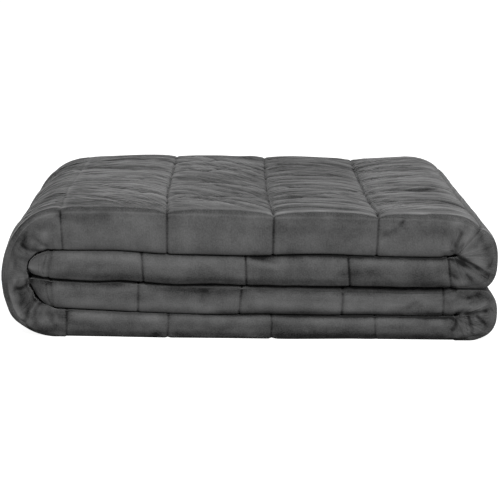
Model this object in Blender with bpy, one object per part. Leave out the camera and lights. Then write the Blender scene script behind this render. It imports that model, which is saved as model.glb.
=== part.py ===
"""Folded weighted blanket: one quilted strip, carried along its folded path.

The blanket lies folded in thirds, which makes a strip three plies thick. Both ends of the strip
are turned in to the middle, and the strip is then folded in half, so four layers show in front:
layer 1 on top, layer 4 on the ground, a big round fold on the left around the two strip ends,
and two small folds on the right. X runs along the layers, Y from front to back, Z up.

The strip is a loft. A rib is a short line through the strip's thickness, from its inner face to
its outer face, and the ribs follow the folded path. Each rib carries one closed section: front
edge, quilted outer face, back edge and plain inner face.
"""

import math

import bmesh
import bpy
import numpy as np

MM = 0.001

# ---- driving sizes, mm -------------------------------------------------------------------------

DEPTH = 500.0              # front to back
SQUARES_ACROSS = 5         # quilted squares from the front seam to the back seam
LAYER_GAP = 2.0            # air between layers that lie on each other
LONG_SEAM_DEPTH = 3.2      # how far a seam along the strip is sunk below the squares beside it
CROSS_SEAM_DEPTH = 4.0     # the same for a seam across the strip
GROOVE_REACH = 0.11        # how wide a groove opens to each side, in parts of a square
EDGE_PINCH = 2.6           # how far a cross seam draws the front and back edges in
FOOT_SEAM_HEIGHT = 1.6     # seams under the blanket stay this far above the ground
SEAM_WANDER = 2.0          # how far a cross seam strays from a straight line
WANDER_WAVE = 190.0        # distance between two such bends of a seam
EDGE_SWAY = 1.2            # how far the front and back edges stray from a straight line
SWAY_WAVE = 330.0          # distance between two such bends of an edge
ROLL_REACH = 6.0           # the outer face falls to a dropped front seam over this length
RUN_EASE = 15.0            # a run's values change into the next run's over this length
SLANT_EASE = 60.0          # the slant of the top's seams fades under the blanket over this length

# ---- layer lines: height of each line at some places, mm ---------------------------------------

# The last column is how much higher the top lies at the back than in front.

LINES = ("x", "layers 4 and 3", "layers 3 and 2", "layers 2 and 1", "top seams", "back rise")
LINE_HEIGHTS = np.array([
    (-215.0, 29.2, 56.3, 85.0, 121.8, -4.0),
    (-180.0, 26.7, 54.4, 84.3, 122.3, -3.5),
    (-125.0, 24.2, 54.6, 84.8, 122.1, -2.8),
    (-70.0, 23.0, 51.4, 81.6, 121.7, -2.2),
    (-30.0, 22.7, 51.6, 81.3, 121.3, -1.8),
    (10.0, 23.8, 50.9, 81.0, 120.9, -1.4),
    (50.0, 23.3, 50.5, 82.9, 120.5, -0.7),
    (100.0, 23.6, 51.2, 82.4, 120.0, 0.0),
    (150.0, 23.6, 51.0, 81.2, 119.6, 1.0),
    (190.0, 23.1, 51.0, 81.3, 119.3, 1.6),
    (205.0, 24.4, 51.0, 83.4, 119.1, 2.0),
])

# ---- runs of the strip in order, mm ------------------------------------------------------------
# puff: how far the middle of a square stands above its seams, small where something presses it
# seam inset: how far the seam along the front edge lies behind the edge's foremost line
# edge round: how far the edge of the inner face lies behind that line
# forward: how far this run's front line lies before (or behind) the others'
# seam drop: how far the front seam hangs below the outer face where the edge is rolled over it
# slant: 1 where the seams along the strip lie askew, as they do on top

RUNS = {
    "layer 2": dict(puff=1.3, seam_inset=6.5, edge_round=11.0, forward=0.0, seam_drop=0.0,
                    slant=0.0),
    "upper right": dict(puff=6.0, seam_inset=4.5, edge_round=9.0, forward=-0.5, seam_drop=1.0,
                        slant=1.0),
    "layer 1": dict(puff=7.2, seam_inset=3.2, edge_round=7.0, forward=-1.0, seam_drop=0.0,
                    slant=1.0),
    "left": dict(puff=5.5, seam_inset=4.0, edge_round=7.0, forward=-1.0, seam_drop=0.0,
                 slant=1.0),
    "layer 4": dict(puff=1.6, seam_inset=3.5, edge_round=10.0, forward=0.0, seam_drop=0.0,
                    slant=0.0),
    "lower right": dict(puff=4.5, seam_inset=5.5, edge_round=9.0, forward=-0.5, seam_drop=2.0,
                        slant=0.0),
    "layer 3": dict(puff=1.3, seam_inset=4.5, edge_round=10.0, forward=-1.5, seam_drop=4.5,
                    slant=0.0),
}
TIP_2 = (-209.5, -213.5)   # inner x and outer x of the strip end in layer 2
TIP_3 = (-203.0, -213.0)   # the same in layer 3

# The seams along the strip as they lie on top: y at some places in x, by the seam's number
SLANT_X = (-180.0, -80.0, 20.0, 120.0, 200.0)
SLANT_Y = {
    1: (-126.0, -134.0, -146.0, -152.0, -146.0),
    2: (-16.0, -22.0, -50.0, -70.0, -62.0),
    3: (92.0, 86.0, 56.0, 42.0, 46.0),
    4: (176.0, 172.0, 154.0, 142.0, 146.0),
}

# ---- folds: two quarter turns each, mm ---------------------------------------------------------
# start, widest, end: (inner x, outer x) of the fold's first, outermost and last ribs
# height: (inner z, outer z) of the outermost rib
# first, last: squareness of the (inner, outer) quarter; 2 is a round quarter, more is fuller

FOLDS = {
    "upper right": dict(start=(198.0, 201.0), widest=(202.0, 236.0), end=(198.0, 184.0),
                        height=(82.6, 83.0), first=(2.0, 3.4), last=(2.0, 2.2)),
    "left": dict(start=(-190.0, -179.0), widest=(-216.5, -236.6), end=(-188.0, -178.0),
                 height=(58.0, 61.5), first=(1.75, 2.1), last=(1.85, 2.7)),
    "lower right": dict(start=(200.0, 200.0), widest=(204.0, 237.5), end=(200.0, 203.0),
                        height=(24.0, 25.5), first=(2.0, 2.5), last=(2.0, 2.9)),
}

# Cross seams in order: the run; x on its outer face or, in a fold, the part of the fold; and the x
# where the seam meets the inner face of a layer
CROSS_SEAMS = [
    ("layer 2", -198.0, -191.5), ("layer 2", -103.0, -105.0), ("layer 2", -3.0, -4.0),
    ("layer 2", 97.7, 95.6), ("layer 2", 196.0, None),
    ("upper right", 0.74, None),
    ("layer 1", 124.5, 123.0), ("layer 1", 22.8, 22.3), ("layer 1", -80.5, -80.2),
    ("left", 0.022, -181.0),
    ("left", 0.53, None),
    ("layer 4", -177.3, -177.0), ("layer 4", -79.0, -78.2), ("layer 4", 22.2, 21.9),
    ("layer 4", 123.6, 122.6), ("layer 4", 198.0, None),
    ("layer 3", 190.0, None), ("layer 3", 91.5, 90.4), ("layer 3", -7.2, -9.8),
    ("layer 3", -107.7, -108.2), ("layer 3", -194.2, -190.4),
]

# ---- the section and where it is placed --------------------------------------------------------

# Front edge: part of the thickness, part of the edge round, part of the seam inset
EDGE_ROWS = [
    (0.00, 1.00, 0.00),
    (0.10, 0.42, 0.00),
    (0.30, 0.08, 0.00),
    (0.58, 0.00, 0.00),
    (0.86, 0.00, 0.32),
]
SQUARE_ROWS = (0.0, 0.10, 0.34, 0.66, 0.90)      # rows of points in one square
INNER_ROWS = 3                                   # rows of points across the plain inner face

# Strip ends: part of the hem past the last seam, and the parts of the thickness that are gone
# there on the inner and on the outer side
HEM_RIBS = [
    (1.00, 0.62, 0.18),
    (0.84, 0.46, 0.08),
    (0.50, 0.26, 0.03),
]
RIBS_IN_SQUARE = 4                     # evenly spaced ribs in a flat square
RIB_TURN = math.radians(22.0)          # a fold gets one more rib for each such turn
SAMPLES = 48                           # ribs worked out in a run before they are spaced out


def line_height(x, line):
    """Height of a layer line at x, straight between the table's rows."""
    return np.interp(x, LINE_HEIGHTS[:, 0], LINE_HEIGHTS[:, LINES.index(line)])


def layer_ribs(name, start, end):
    """Ribs of a flat layer, as rows of inner x, inner z, outer x, outer z.

    start and end are the (inner x, outer x) of its first and last ribs.
    """
    inner_x, outer_x = np.linspace(start, end, SAMPLES).T
    half_gap = LAYER_GAP / 2
    pressed = half_gap + RUNS[name]["puff"]
    if name == "layer 1":
        inner = line_height(inner_x, "layers 2 and 1") + half_gap
        outer = line_height(outer_x, "top seams")
    elif name == "layer 2":
        inner = line_height(inner_x, "layers 2 and 1") - half_gap
        outer = line_height(outer_x, "layers 3 and 2") + pressed
    elif name == "layer 3":
        inner = line_height(inner_x, "layers 4 and 3") + half_gap
        outer = line_height(outer_x, "layers 3 and 2") - pressed
    else:
        inner = line_height(inner_x, "layers 4 and 3") - half_gap
        outer = np.full_like(outer_x, FOOT_SEAM_HEIGHT)
    return np.column_stack([inner_x, inner, outer_x, outer])


def quarter_turn(start, end, squareness, leaves_along_x):
    """Quarter of a superellipse from start to end, which leaves start along x or along z."""
    turn = np.linspace(0.0, math.pi / 2, SAMPLES)
    soon = np.sin(turn) ** (2.0 / squareness)
    late = 1.0 - np.cos(turn) ** (2.0 / squareness)
    part_x, part_z = (soon, late) if leaves_along_x else (late, soon)
    return np.column_stack([start[0] + (end[0] - start[0]) * part_x,
                            start[1] + (end[1] - start[1]) * part_z])


def fold_ribs(name, rib_before, rib_after):
    """Ribs of a fold: out from the layer before it to the outermost rib, and back."""
    fold = FOLDS[name]
    faces = []
    for face, height in enumerate(((rib_before[1], rib_after[1]), (rib_before[3], rib_after[3]))):
        start = (fold["start"][face], height[0])
        widest = (fold["widest"][face], fold["height"][face])
        end = (fold["end"][face], height[1])
        out = quarter_turn(start, widest, fold["first"][face], True)
        back = quarter_turn(widest, end, fold["last"][face], False)
        faces.append(np.vstack([out, back[1:]]))
    return np.hstack(faces)


def strip_path():
    """All ribs of the strip in order, and the name of the run that each one belongs to."""
    upper, left, lower = FOLDS["upper right"], FOLDS["left"], FOLDS["lower right"]
    ribs = {
        "layer 2": layer_ribs("layer 2", TIP_2, upper["start"]),
        "layer 1": layer_ribs("layer 1", upper["end"], left["start"]),
        "layer 4": layer_ribs("layer 4", left["end"], lower["start"]),
        "layer 3": layer_ribs("layer 3", lower["end"], TIP_3),
    }
    for name, before, after in (("upper right", "layer 2", "layer 1"),
                                ("left", "layer 1", "layer 4"),
                                ("lower right", "layer 4", "layer 3")):
        ribs[name] = fold_ribs(name, ribs[before][-1], ribs[after][0])
    path = np.vstack([ribs[name] for name in RUNS])
    names = np.concatenate([[name] * len(ribs[name]) for name in RUNS])
    return path, names


def path_lengths(path):
    """Distance along the strip's outer face at each rib."""
    steps = np.linalg.norm(np.diff(path[:, 2:], axis=0), axis=1)
    return np.concatenate([[0.0], np.cumsum(steps)])


def path_turns(path):
    """How far the strip has turned at each rib, in radians."""
    direction = path[:, 2:] - path[:, :2]
    angle = np.unwrap(np.arctan2(direction[:, 1], direction[:, 0]))
    return np.concatenate([[0.0], np.cumsum(np.abs(np.diff(angle)))])


def cross_seam_places(path, names, lengths):
    """Distance along the strip of each cross seam, and how far its inner end lies from there."""
    places = []
    leans = []
    for run, place, inner_x in CROSS_SEAMS:
        rows = np.flatnonzero(names == run)
        if run in FOLDS:
            places.append(lengths[rows[round(place * (len(rows) - 1))]])
        else:
            order = rows[np.argsort(path[rows, 2])]
            places.append(np.interp(place, path[order, 2], lengths[order]))
        if inner_x is None:
            leans.append(0.0)
            continue
        rows = np.flatnonzero(names == ("layer 1" if run == "left" else run))
        order = rows[np.argsort(path[rows, 0])]
        leans.append(np.interp(inner_x, path[order, 0], lengths[order]) - places[-1])
    return np.array(places), np.array(leans)


def rib_places(seams, lengths, turns):
    """Where the section is placed along the strip, and what is gone there of its thickness."""
    first_hem = [(seams[0] * (1 - part), *gone) for part, *gone in HEM_RIBS]
    squares = []
    for start, end in zip(seams[:-1], seams[1:]):
        turn = np.interp(end, lengths, turns) - np.interp(start, lengths, turns)
        count = RIBS_IN_SQUARE + round(turn / RIB_TURN)
        groove = SQUARE_ROWS[1]
        parts = [0.0, *np.linspace(groove, 1.0 - groove, count)]
        squares += [(start + part * (end - start), 0.0, 0.0) for part in parts]
    hem = lengths[-1] - seams[-1]
    last_hem = [(seams[-1] + hem * part, *gone) for part, *gone in reversed(HEM_RIBS)]
    return np.array(first_hem + squares + [(seams[-1], 0.0, 0.0)] + last_hem).T


def off_seam(squares):
    """0 on a seam, near 1 in the middle of a square: a groove with round shoulders."""
    distance = np.abs(squares - np.round(squares))
    return 1.0 - np.exp(-distance / GROOVE_REACH)


def along_runs(column, names, lengths, places, ease=RUN_EASE):
    """One column of RUNS at each place, eased from run to run."""
    values = np.array([RUNS[name][column] for name in names])
    shifts = np.linspace(-ease, ease, 5)
    return np.mean([np.interp(places + shift, lengths, values) for shift in shifts], axis=0)


def long_seam_lines(x, edge_seam, slant):
    """y of the six seams along the strip: evenly spaced, and drawn to their slanted lines."""
    lines = np.linspace(-1.0, 1.0, SQUARES_ACROSS + 1)[:, None] * edge_seam
    for number, slanted in SLANT_Y.items():
        lines[number] += slant * (np.interp(x, SLANT_X, slanted) - lines[number])
    return lines


def press_flat(points, run):
    """Keep the strip above the ground, and its two halves on their own sides of their line.

    Then the stack is made thicker or thinner towards the back.
    """
    x, y, z = points[:, :, 0], points[:, :, 1], points[:, :, 2]
    line = line_height(x, "layers 3 and 2")
    upper = np.isin(run, ("layer 2", "upper right"))
    lower = np.isin(run, ("layer 3", "lower right"))
    z[upper] = np.maximum(z[upper], line[upper] + LAYER_GAP / 2)
    z[lower] = np.minimum(z[lower], line[lower] - LAYER_GAP / 2)
    np.maximum(z, 0.0, out=z)
    z *= 1.0 + line_height(x, "back rise") / line_height(x, "top seams") * (y / DEPTH + 0.5)


def strip_points():
    """Points of the strip: an array of sections, each a closed loop of points, in mm."""
    path, names = strip_path()
    lengths = path_lengths(path)
    seams, leans = cross_seam_places(path, names, lengths)
    places, inner_gone, outer_gone = rib_places(seams, lengths, path_turns(path))
    kept = 1.0 - inner_gone - outer_gone

    puff = along_runs("puff", names, lengths, places)
    seam_inset = along_runs("seam_inset", names, lengths, places)
    edge_round = along_runs("edge_round", names, lengths, places)
    forward = along_runs("forward", names, lengths, places)
    seam_drop = along_runs("seam_drop", names, lengths, places) * kept
    slant = along_runs("slant", names, lengths, places, SLANT_EASE)
    sway = EDGE_SWAY * np.sin(2 * math.pi * places / SWAY_WAVE)
    edge = DEPTH / 2 + np.minimum(forward + sway, 0.0)

    in_strip = (places >= seams[0]) & (places <= seams[-1])
    cross = off_seam(np.interp(places, seams, np.arange(len(seams))))
    cross = np.where(in_strip, cross, 1.0)
    lean = np.where(in_strip, np.interp(places, seams, leans), 0.0)
    pinch = EDGE_PINCH * (1.0 - cross)
    lines = long_seam_lines(np.interp(places, lengths, path[:, 2]), edge - seam_inset, slant)

    # Rows of the section: y, part of the thickness, and push out from there
    front = []
    for part, round_share, inset_share in EDGE_ROWS:
        bulge = 4 * part * (1 - part)
        inset = round_share * edge_round + inset_share * seam_inset + pinch * bulge
        front.append((edge - inset, part, -seam_drop * part))
    rows = [(-y, part, push) for y, part, push in front]
    for square in [k + part for k in range(SQUARES_ACROSS) for part in SQUARE_ROWS]:
        before = lines[int(square)]
        y = before + square % 1.0 * (lines[int(square) + 1] - before)
        push = LONG_SEAM_DEPTH * off_seam(square) + CROSS_SEAM_DEPTH * cross
        behind_seam = edge - seam_inset - np.abs(y)
        push = np.minimum(push * kept, puff) - seam_drop * np.exp(-behind_seam / ROLL_REACH)
        rows.append((y, 1.0, push))
    rows.append((lines[-1], 1.0, np.minimum(CROSS_SEAM_DEPTH * cross * kept, puff) - seam_drop))
    rows += reversed(front)
    inner_y = edge - edge_round
    for share in np.linspace(1.0, -1.0, INNER_ROWS + 2)[1:-1]:
        rows.append((inner_y * share, 0.0, np.zeros_like(places)))

    points = np.empty((len(places), len(rows), 3))
    for column, (y, part, push) in enumerate(rows):
        stray = SEAM_WANDER * part * np.sin(2 * math.pi * y / WANDER_WAVE + places / DEPTH)
        stray = np.where(in_strip, stray, 0.0) + lean * (1.0 - part)
        rib = np.column_stack([np.interp(places + stray, lengths, side) for side in path.T])
        through = rib[:, 2:] - rib[:, :2]
        thickness = np.linalg.norm(through, axis=1)
        reach = (inner_gone + part * kept) * thickness + push
        points[:, column, 0] = rib[:, 0] + through[:, 0] / thickness * reach
        points[:, column, 1] = y
        points[:, column, 2] = rib[:, 1] + through[:, 1] / thickness * reach
    press_flat(points, names[np.searchsorted(lengths, places).clip(max=len(names) - 1)])
    return points


def closed_loft(name, points):
    """A closed mesh in metres: quads between neighbouring loops, a flat face on each end."""
    model = bmesh.new()
    loops = [[model.verts.new(point * MM) for point in loop] for loop in points]
    for here, beyond in zip(loops[:-1], loops[1:]):
        for row, point in enumerate(here):
            before = row - 1
            model.faces.new((here[before], point, beyond[row], beyond[before]))
    model.faces.new(loops[0])
    model.faces.new(reversed(loops[-1]))
    bmesh.ops.recalc_face_normals(model, faces=model.faces)
    mesh = bpy.data.meshes.new(name)
    model.to_mesh(mesh)
    model.free()
    mesh.shade_smooth()
    return mesh


def plush_material():
    """Short-pile plush in dark grey."""
    material = bpy.data.materials.new("dark grey plush")
    material.use_nodes = True
    shader = material.node_tree.nodes["Principled BSDF"]
    shader.inputs["Base Color"].default_value = (0.105, 0.105, 0.110, 1.0)
    shader.inputs["Roughness"].default_value = 0.9
    shader.inputs["Metallic"].default_value = 0.0
    return material


def main():
    for item in list(bpy.data.objects):
        bpy.data.objects.remove(item)
    collection = bpy.data.collections.new("folded weighted blanket")
    bpy.context.scene.collection.children.link(collection)
    blanket = bpy.data.objects.new("blanket", closed_loft("blanket", strip_points()))
    blanket.data.materials.append(plush_material())
    collection.objects.link(blanket)


main()
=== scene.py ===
"""Looks of the folded weighted blanket: dark grey short-pile plush, quilted in squares."""

import math

import bpy
import numpy as np
from mathutils import Matrix


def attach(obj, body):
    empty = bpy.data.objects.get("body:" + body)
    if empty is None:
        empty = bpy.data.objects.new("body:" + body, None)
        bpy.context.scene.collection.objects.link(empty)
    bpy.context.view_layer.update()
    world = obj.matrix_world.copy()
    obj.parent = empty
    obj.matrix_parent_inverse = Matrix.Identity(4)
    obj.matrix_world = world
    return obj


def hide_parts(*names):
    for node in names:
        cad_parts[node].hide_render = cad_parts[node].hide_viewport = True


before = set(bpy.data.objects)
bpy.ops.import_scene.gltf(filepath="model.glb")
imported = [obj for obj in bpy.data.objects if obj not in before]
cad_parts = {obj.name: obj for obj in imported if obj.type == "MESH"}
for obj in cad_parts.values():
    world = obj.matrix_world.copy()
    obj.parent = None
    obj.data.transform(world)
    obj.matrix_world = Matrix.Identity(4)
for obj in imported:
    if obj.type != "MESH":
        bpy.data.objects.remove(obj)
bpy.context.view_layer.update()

# ==========================================================
# Camera
# The photograph's angle: far off with a long lens, a little above the top of the blanket, and very
# slightly turned and tipped. The picture is square.
# ==========================================================

CAMERA_PLACE = (-0.0418, -2.450, 0.4270)
CAMERA_DOWN = math.radians(8.77)
CAMERA_TURN = math.radians(1.09)
CAMERA_TIP = math.radians(0.8)
LENS = 165.67              # mm, on a sensor 36 mm wide
SIGHT = 50.0               # metres


def add_object(name, data):
    """A new object in the scene, at the origin."""
    made = bpy.data.objects.new(name, data)
    bpy.context.scene.collection.objects.link(made)
    return made


camera = add_object("camera", bpy.data.cameras.new("camera"))
camera.data.lens = LENS
camera.data.clip_end = SIGHT
camera.matrix_world = (Matrix.Translation(CAMERA_PLACE)
                       @ Matrix.Rotation(-CAMERA_TURN, 4, "Z")
                       @ Matrix.Rotation(math.pi / 2 - CAMERA_DOWN, 4, "X")
                       @ Matrix.Rotation(CAMERA_TIP, 4, "Z"))
bpy.context.scene.camera = camera

# ==========================================================
# The blanket
# Two sheets of short-pile plush with bead-filled squares sewn between them, folded in thirds to a
# strip, its ends turned in to the middle, and folded in half. It lies on its own weight, so the
# squares are puffed on top and pressed flat between the layers. All sizes here are in mm.
# ==========================================================

MM = 0.001
DEPTH = 500.0              # front to back
SQUARES_ACROSS = 5
LAYER_GAP = 1.4            # air between two layers
FOOT_SEAM_HEIGHT = 0.9     # seams under the blanket stay this far above the ground

# Height of each line between layers, of the seams on top, and the rise of the top to the back
LINES = ("x", "layers 4 and 3", "layers 3 and 2", "layers 2 and 1", "top seams", "back rise")
LINE_HEIGHTS = np.array([
    (-215.0, 29.2, 58.2, 85.0, 121.8, -8.0),
    (-180.0, 26.7, 54.4, 84.3, 122.3, -7.6),
    (-150.0, 25.4, 53.6, 84.4, 122.2, -5.6),
    (-125.0, 24.2, 55.0, 85.0, 122.1, -3.6),
    (-100.0, 23.5, 52.9, 83.0, 122.0, -2.7),
    (-70.0, 23.0, 51.2, 81.5, 121.7, -3.0),
    (-30.0, 22.7, 51.8, 81.3, 121.3, -2.4),
    (10.0, 24.0, 50.9, 80.7, 120.9, -3.0),
    (30.0, 23.5, 50.6, 82.2, 120.7, -2.4),
    (60.0, 23.2, 50.5, 83.2, 120.4, -1.2),
    (80.0, 23.0, 50.6, 83.3, 120.2, -1.4),
    (100.0, 23.8, 51.4, 82.2, 120.0, -2.0),
    (140.0, 23.9, 51.2, 81.2, 119.6, -2.6),
    (170.0, 23.0, 50.6, 81.0, 119.4, -0.6),
    (190.0, 23.1, 51.0, 81.3, 119.3, 0.6),
    (205.0, 24.4, 51.0, 83.4, 119.1, 2.0),
])
LINE_EASE = 12.0           # corners of the table above are rounded over this length

# Runs of the strip in order. puff: height of a square's middle over its seams. seam inset: how far
# the front seam lies behind the foremost line. edge round: the same for the inner face's edge.
# forward: this run's front line before the others'. seam drop: how far the front seam hangs below
# the outer face's level, where the edge is rolled over it. seam fill: part of the seams' depth that
# is filled up where the cloth is drawn tight around a fold. edge groove, edge shade: how deep and
# how dark the front seam is. streaks: how plain the front's wrinkles run out from a fold.
RUN_COLUMNS = ("puff", "seam inset", "edge round", "forward", "seam drop", "seam fill",
               "edge groove", "edge shade", "streaks")
RUNS = {
    "layer 2": (0.8, 5.2, 10.0, 0.0, 0.0, 0.0, 1.0, 0.25, 0.0),
    "upper right": (6.0, 4.5, 9.0, -0.5, 1.0, 0.85, 0.3, 0.45, 0.5),
    "layer 1": (7.2, 3.2, 4.5, -1.0, 1.2, 0.15, 0.3, 0.45, 0.0),
    "left": (5.5, 4.0, 3.5, -1.0, 0.5, 0.7, 0.3, 0.4, 0.3),
    "layer 4": (1.6, 6.0, 8.0, 0.0, 0.0, 0.0, 1.0, 0.8, 0.0),
    "lower right": (4.5, 5.5, 9.0, -0.5, 2.0, 0.6, 1.0, 0.8, 0.6),
    "layer 3": (0.8, 4.5, 4.5, -1.5, 0.0, 0.0, 1.0, 0.25, 0.0),
}
RUN_EASE = 15.0            # a run's values change into the next run's over this length
TIP_2 = (-214.2, -215.0)   # inner x and outer x of the strip end in layer 2
TIP_3 = (-211.0, -213.6)   # the same in layer 3

# Folds: (inner x, outer x) of the first, outermost and last ribs, (inner z, outer z) of the
# outermost, and the squareness of the (inner, outer) quarter turn before and after it
FOLDS = {
    "upper right": dict(start=(198.0, 201.0), widest=(202.0, 236.0), end=(198.0, 184.0),
                        height=(82.6, 83.0), first=(2.0, 3.15), last=(2.0, 2.2)),
    "left": dict(start=(-188.0, -179.0), widest=(-216.0, -235.0), end=(-188.0, -178.0),
                 height=(60.0, 62.0), first=(1.6, 2.1), last=(1.8, 2.55)),
    "lower right": dict(start=(200.0, 200.0), widest=(204.0, 239.0), end=(200.0, 203.0),
                        height=(24.0, 25.5), first=(2.0, 2.5), last=(2.0, 2.9)),
}
# The big fold's inner face lies close around the two strip ends: its points as x and z
LEFT_INNER = np.array([(-188.0, 86.0), (-192.5, 86.2), (-203.5, 83.4), (-210.0, 78.6),
                       (-214.6, 73.4), (-216.2, 67.3), (-215.7, 59.5), (-214.2, 50.7),
                       (-211.0, 42.9), (-206.0, 36.0), (-197.0, 31.0), (-188.0, 28.0)])
INNER_EASE = 0.04          # its corners are rounded over this part of its length
SAMPLES = 90               # ribs worked out in a run before they are spaced out

# Cross seams in order: the run, x on its outer face or, in a fold, the part of the fold, and on a
# layer the x where the seam meets the inner face
CROSS_SEAMS = [
    ("layer 2", -195.0, -191.5), ("layer 2", -103.0, -105.0), ("layer 2", -3.0, -4.0),
    ("layer 2", 97.7, 95.6), ("layer 2", 196.0, 193.0),
    ("upper right", 0.74, None),
    ("layer 1", 124.5, 123.0), ("layer 1", 22.8, 22.3), ("layer 1", -80.5, -80.2),
    ("left", 0.022, -181.0),
    ("left", 0.58, None),
    ("layer 4", -177.3, -177.0), ("layer 4", -79.0, -78.2), ("layer 4", 22.2, 21.9),
    ("layer 4", 123.6, 122.6), ("layer 4", 198.0, 198.0),
    ("layer 3", 190.0, 189.0), ("layer 3", 91.5, 90.4), ("layer 3", -7.2, -9.8),
    ("layer 3", -107.7, -108.2), ("layer 3", -192.6, -190.4),
]

INNER_X, INNER_Z, OUTER_X, OUTER_Z = range(4)           # columns of a rib


run_number = {name: number for number, name in enumerate(RUNS)}


def running(steps):
    """0 and the running sums of the steps."""
    return np.concatenate([[0.0], np.cumsum(steps)])


def run_values(column):
    """One column of RUNS, for each run in order."""
    return np.array([values[RUN_COLUMNS.index(column)] for values in RUNS.values()])


def line_height(x, line):
    """Height of a layer line at x: the table's straight lines, averaged over a short stretch."""
    shifts = np.linspace(-LINE_EASE, LINE_EASE, 7)
    if line == "foot seams":
        return np.full_like(x, FOOT_SEAM_HEIGHT)
    column = LINE_HEIGHTS[:, LINES.index(line)]
    return np.mean([np.interp(x + shift, LINE_HEIGHTS[:, 0], column) for shift in shifts], axis=0)


def layer_ribs(name, start, end, inner_line, inner_side, outer_line, outer_side):
    """Ribs of a flat layer, as rows of inner x, inner z, outer x, outer z.

    Both faces run straight in x, at the heights of their layer lines. A face that lies on another
    layer is half the air between them away, and the outer one also the puff of its squares.
    """
    inner_x, outer_x = np.linspace(start, end, SAMPLES).T
    pressed = LAYER_GAP / 2 + run_values("puff")[run_number[name]]
    inner = line_height(inner_x, inner_line) + inner_side * LAYER_GAP / 2
    outer = line_height(outer_x, outer_line) + outer_side * pressed
    return np.column_stack([inner_x, inner, outer_x, outer])


def quarter_turn(start, end, squareness, leaves_along_x):
    """Quarter of a superellipse from start to end: sine and cosine to the power 2 / squareness."""
    turn = np.linspace(0.0, math.pi / 2, SAMPLES)
    soon = np.sin(turn) ** (2.0 / squareness)
    late = 1.0 - np.cos(turn) ** (2.0 / squareness)
    part_x, part_z = (soon, late) if leaves_along_x else (late, soon)
    return np.column_stack([start[0] + (end[0] - start[0]) * part_x,
                            start[1] + (end[1] - start[1]) * part_z])


def fold_ribs(name, before, after):
    """Ribs of a fold: a quarter turn out to the outermost rib and one back, for each face."""
    fold = FOLDS[name]
    faces = []
    for face, z in enumerate((INNER_Z, OUTER_Z)):
        start = (fold["start"][face], before[z])
        widest = (fold["widest"][face], fold["height"][face])
        end = (fold["end"][face], after[z])
        out = quarter_turn(start, widest, fold["first"][face], True)
        back = quarter_turn(widest, end, fold["last"][face], False)
        faces.append(np.vstack([out, back[1:]]))
    return np.hstack(faces)


upper, big, lower = (FOLDS[name] for name in ("upper right", "left", "lower right"))
ribs = {name: layer_ribs(name, *values) for name, *values in (
    ("layer 2", TIP_2, upper["start"], "layers 2 and 1", -1, "layers 3 and 2", 1),
    ("layer 1", upper["end"], big["start"], "layers 2 and 1", 1, "top seams", 0),
    ("layer 4", big["end"], lower["start"], "layers 4 and 3", -1, "foot seams", 0),
    ("layer 3", lower["end"], TIP_3, "layers 4 and 3", 1, "layers 3 and 2", -1))}
for name, before, after in (("upper right", "layer 2", "layer 1"), ("left", "layer 1", "layer 4"),
                            ("lower right", "layer 4", "layer 3")):
    ribs[name] = fold_ribs(name, ribs[before][-1], ribs[after][0])
left = ribs["left"]
steps = np.linalg.norm(np.diff(LEFT_INNER, axis=0), axis=1)
inner_part = running(steps) / steps.sum()
rib_part = np.linspace(0.0, 1.0, len(left))
LEFT_INNER[0, 1], LEFT_INNER[-1, 1] = left[0, INNER_Z], left[-1, INNER_Z]
for column, inner in ((INNER_X, LEFT_INNER[:, 0]), (INNER_Z, LEFT_INNER[:, 1])):
    left[:, column] = np.mean([np.interp(rib_part + shift, inner_part, inner)
                               for shift in np.linspace(-INNER_EASE, INNER_EASE, 5)], axis=0)
path = np.vstack([ribs[name] for name in RUNS])
path_run = np.concatenate([[run] * len(ribs[name]) for run, name in enumerate(RUNS)])
path_length = running(np.linalg.norm(np.diff(path[:, [OUTER_X, OUTER_Z]], axis=0), axis=1))


def place_at(run, column, x):
    """Distance along the strip at which a face of a layer has that x."""
    rows = np.flatnonzero(path_run == run_number[run])
    order = rows[np.argsort(path[rows, column])]
    return np.interp(x, path[order, column], path_length[order])


def seam_place(run, place):
    """Distance along the strip of a cross seam: by its part of a fold, or by its x on a layer."""
    if run not in FOLDS:
        return place_at(run, OUTER_X, place)
    rows = np.flatnonzero(path_run == run_number[run])
    return path_length[rows[round(place * (len(rows) - 1))]]


cross_seams = np.array([seam_place(run, place) for run, place, inner in CROSS_SEAMS])
seam_leans = np.zeros(len(CROSS_SEAMS))
for number, (run, place, inner) in enumerate(CROSS_SEAMS):
    if inner is not None:
        layer = "layer 1" if run == "left" else run
        seam_leans[number] = place_at(layer, INNER_X, inner) - cross_seams[number]

# ---- where the surface has its points ----
# Stations along the strip and rows around its section lie close together beside a seam and wider
# in a square. Layers whose faces are hidden keep every front row and few of the others.

FIRST_STEP = 0.7           # from a seam to the next station or row
STEP_GROWTH = 1.6
STATION_STEP = 7.8         # widest, in a square on a layer
FOLD_STEP = 3.9            # widest in a fold and right beside it
FOLD_MARGIN = 10.0
ROW_STEP = 2.4
HIDDEN_ROWS_KEPT = 6       # one row in this many, on faces that lie between layers
HEM_STATIONS = 9
HEM_CROWDING = 1.6         # how much closer they lie at the strip's end
EDGE_TURN_ROWS = 8         # rows around the edge of the inner face
EDGE_FACE_ROWS = 17        # rows up the edge, to the seam
EDGE_FACE_CROWDING = 1.35
EDGE_TURN_PART = 0.45      # part of the thickness that the inner face's edge is rounded over
SEAM_ROLL_START = 0.58     # part of the thickness where the edge starts to turn in to its seam
SEAM_ROLL_POWER = 2.8
INNER_ROWS = 8


def graded(length, widest):
    """Places in a square as parts of its length: steps that grow away from both its seams."""
    steps = [FIRST_STEP]
    while sum(steps) < length / 2:
        steps.append(min(steps[-1] * STEP_GROWTH, widest))
    half = running(steps) / (2 * sum(steps))
    return np.concatenate([half[:-1], 1.0 - half[::-1]])


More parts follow.
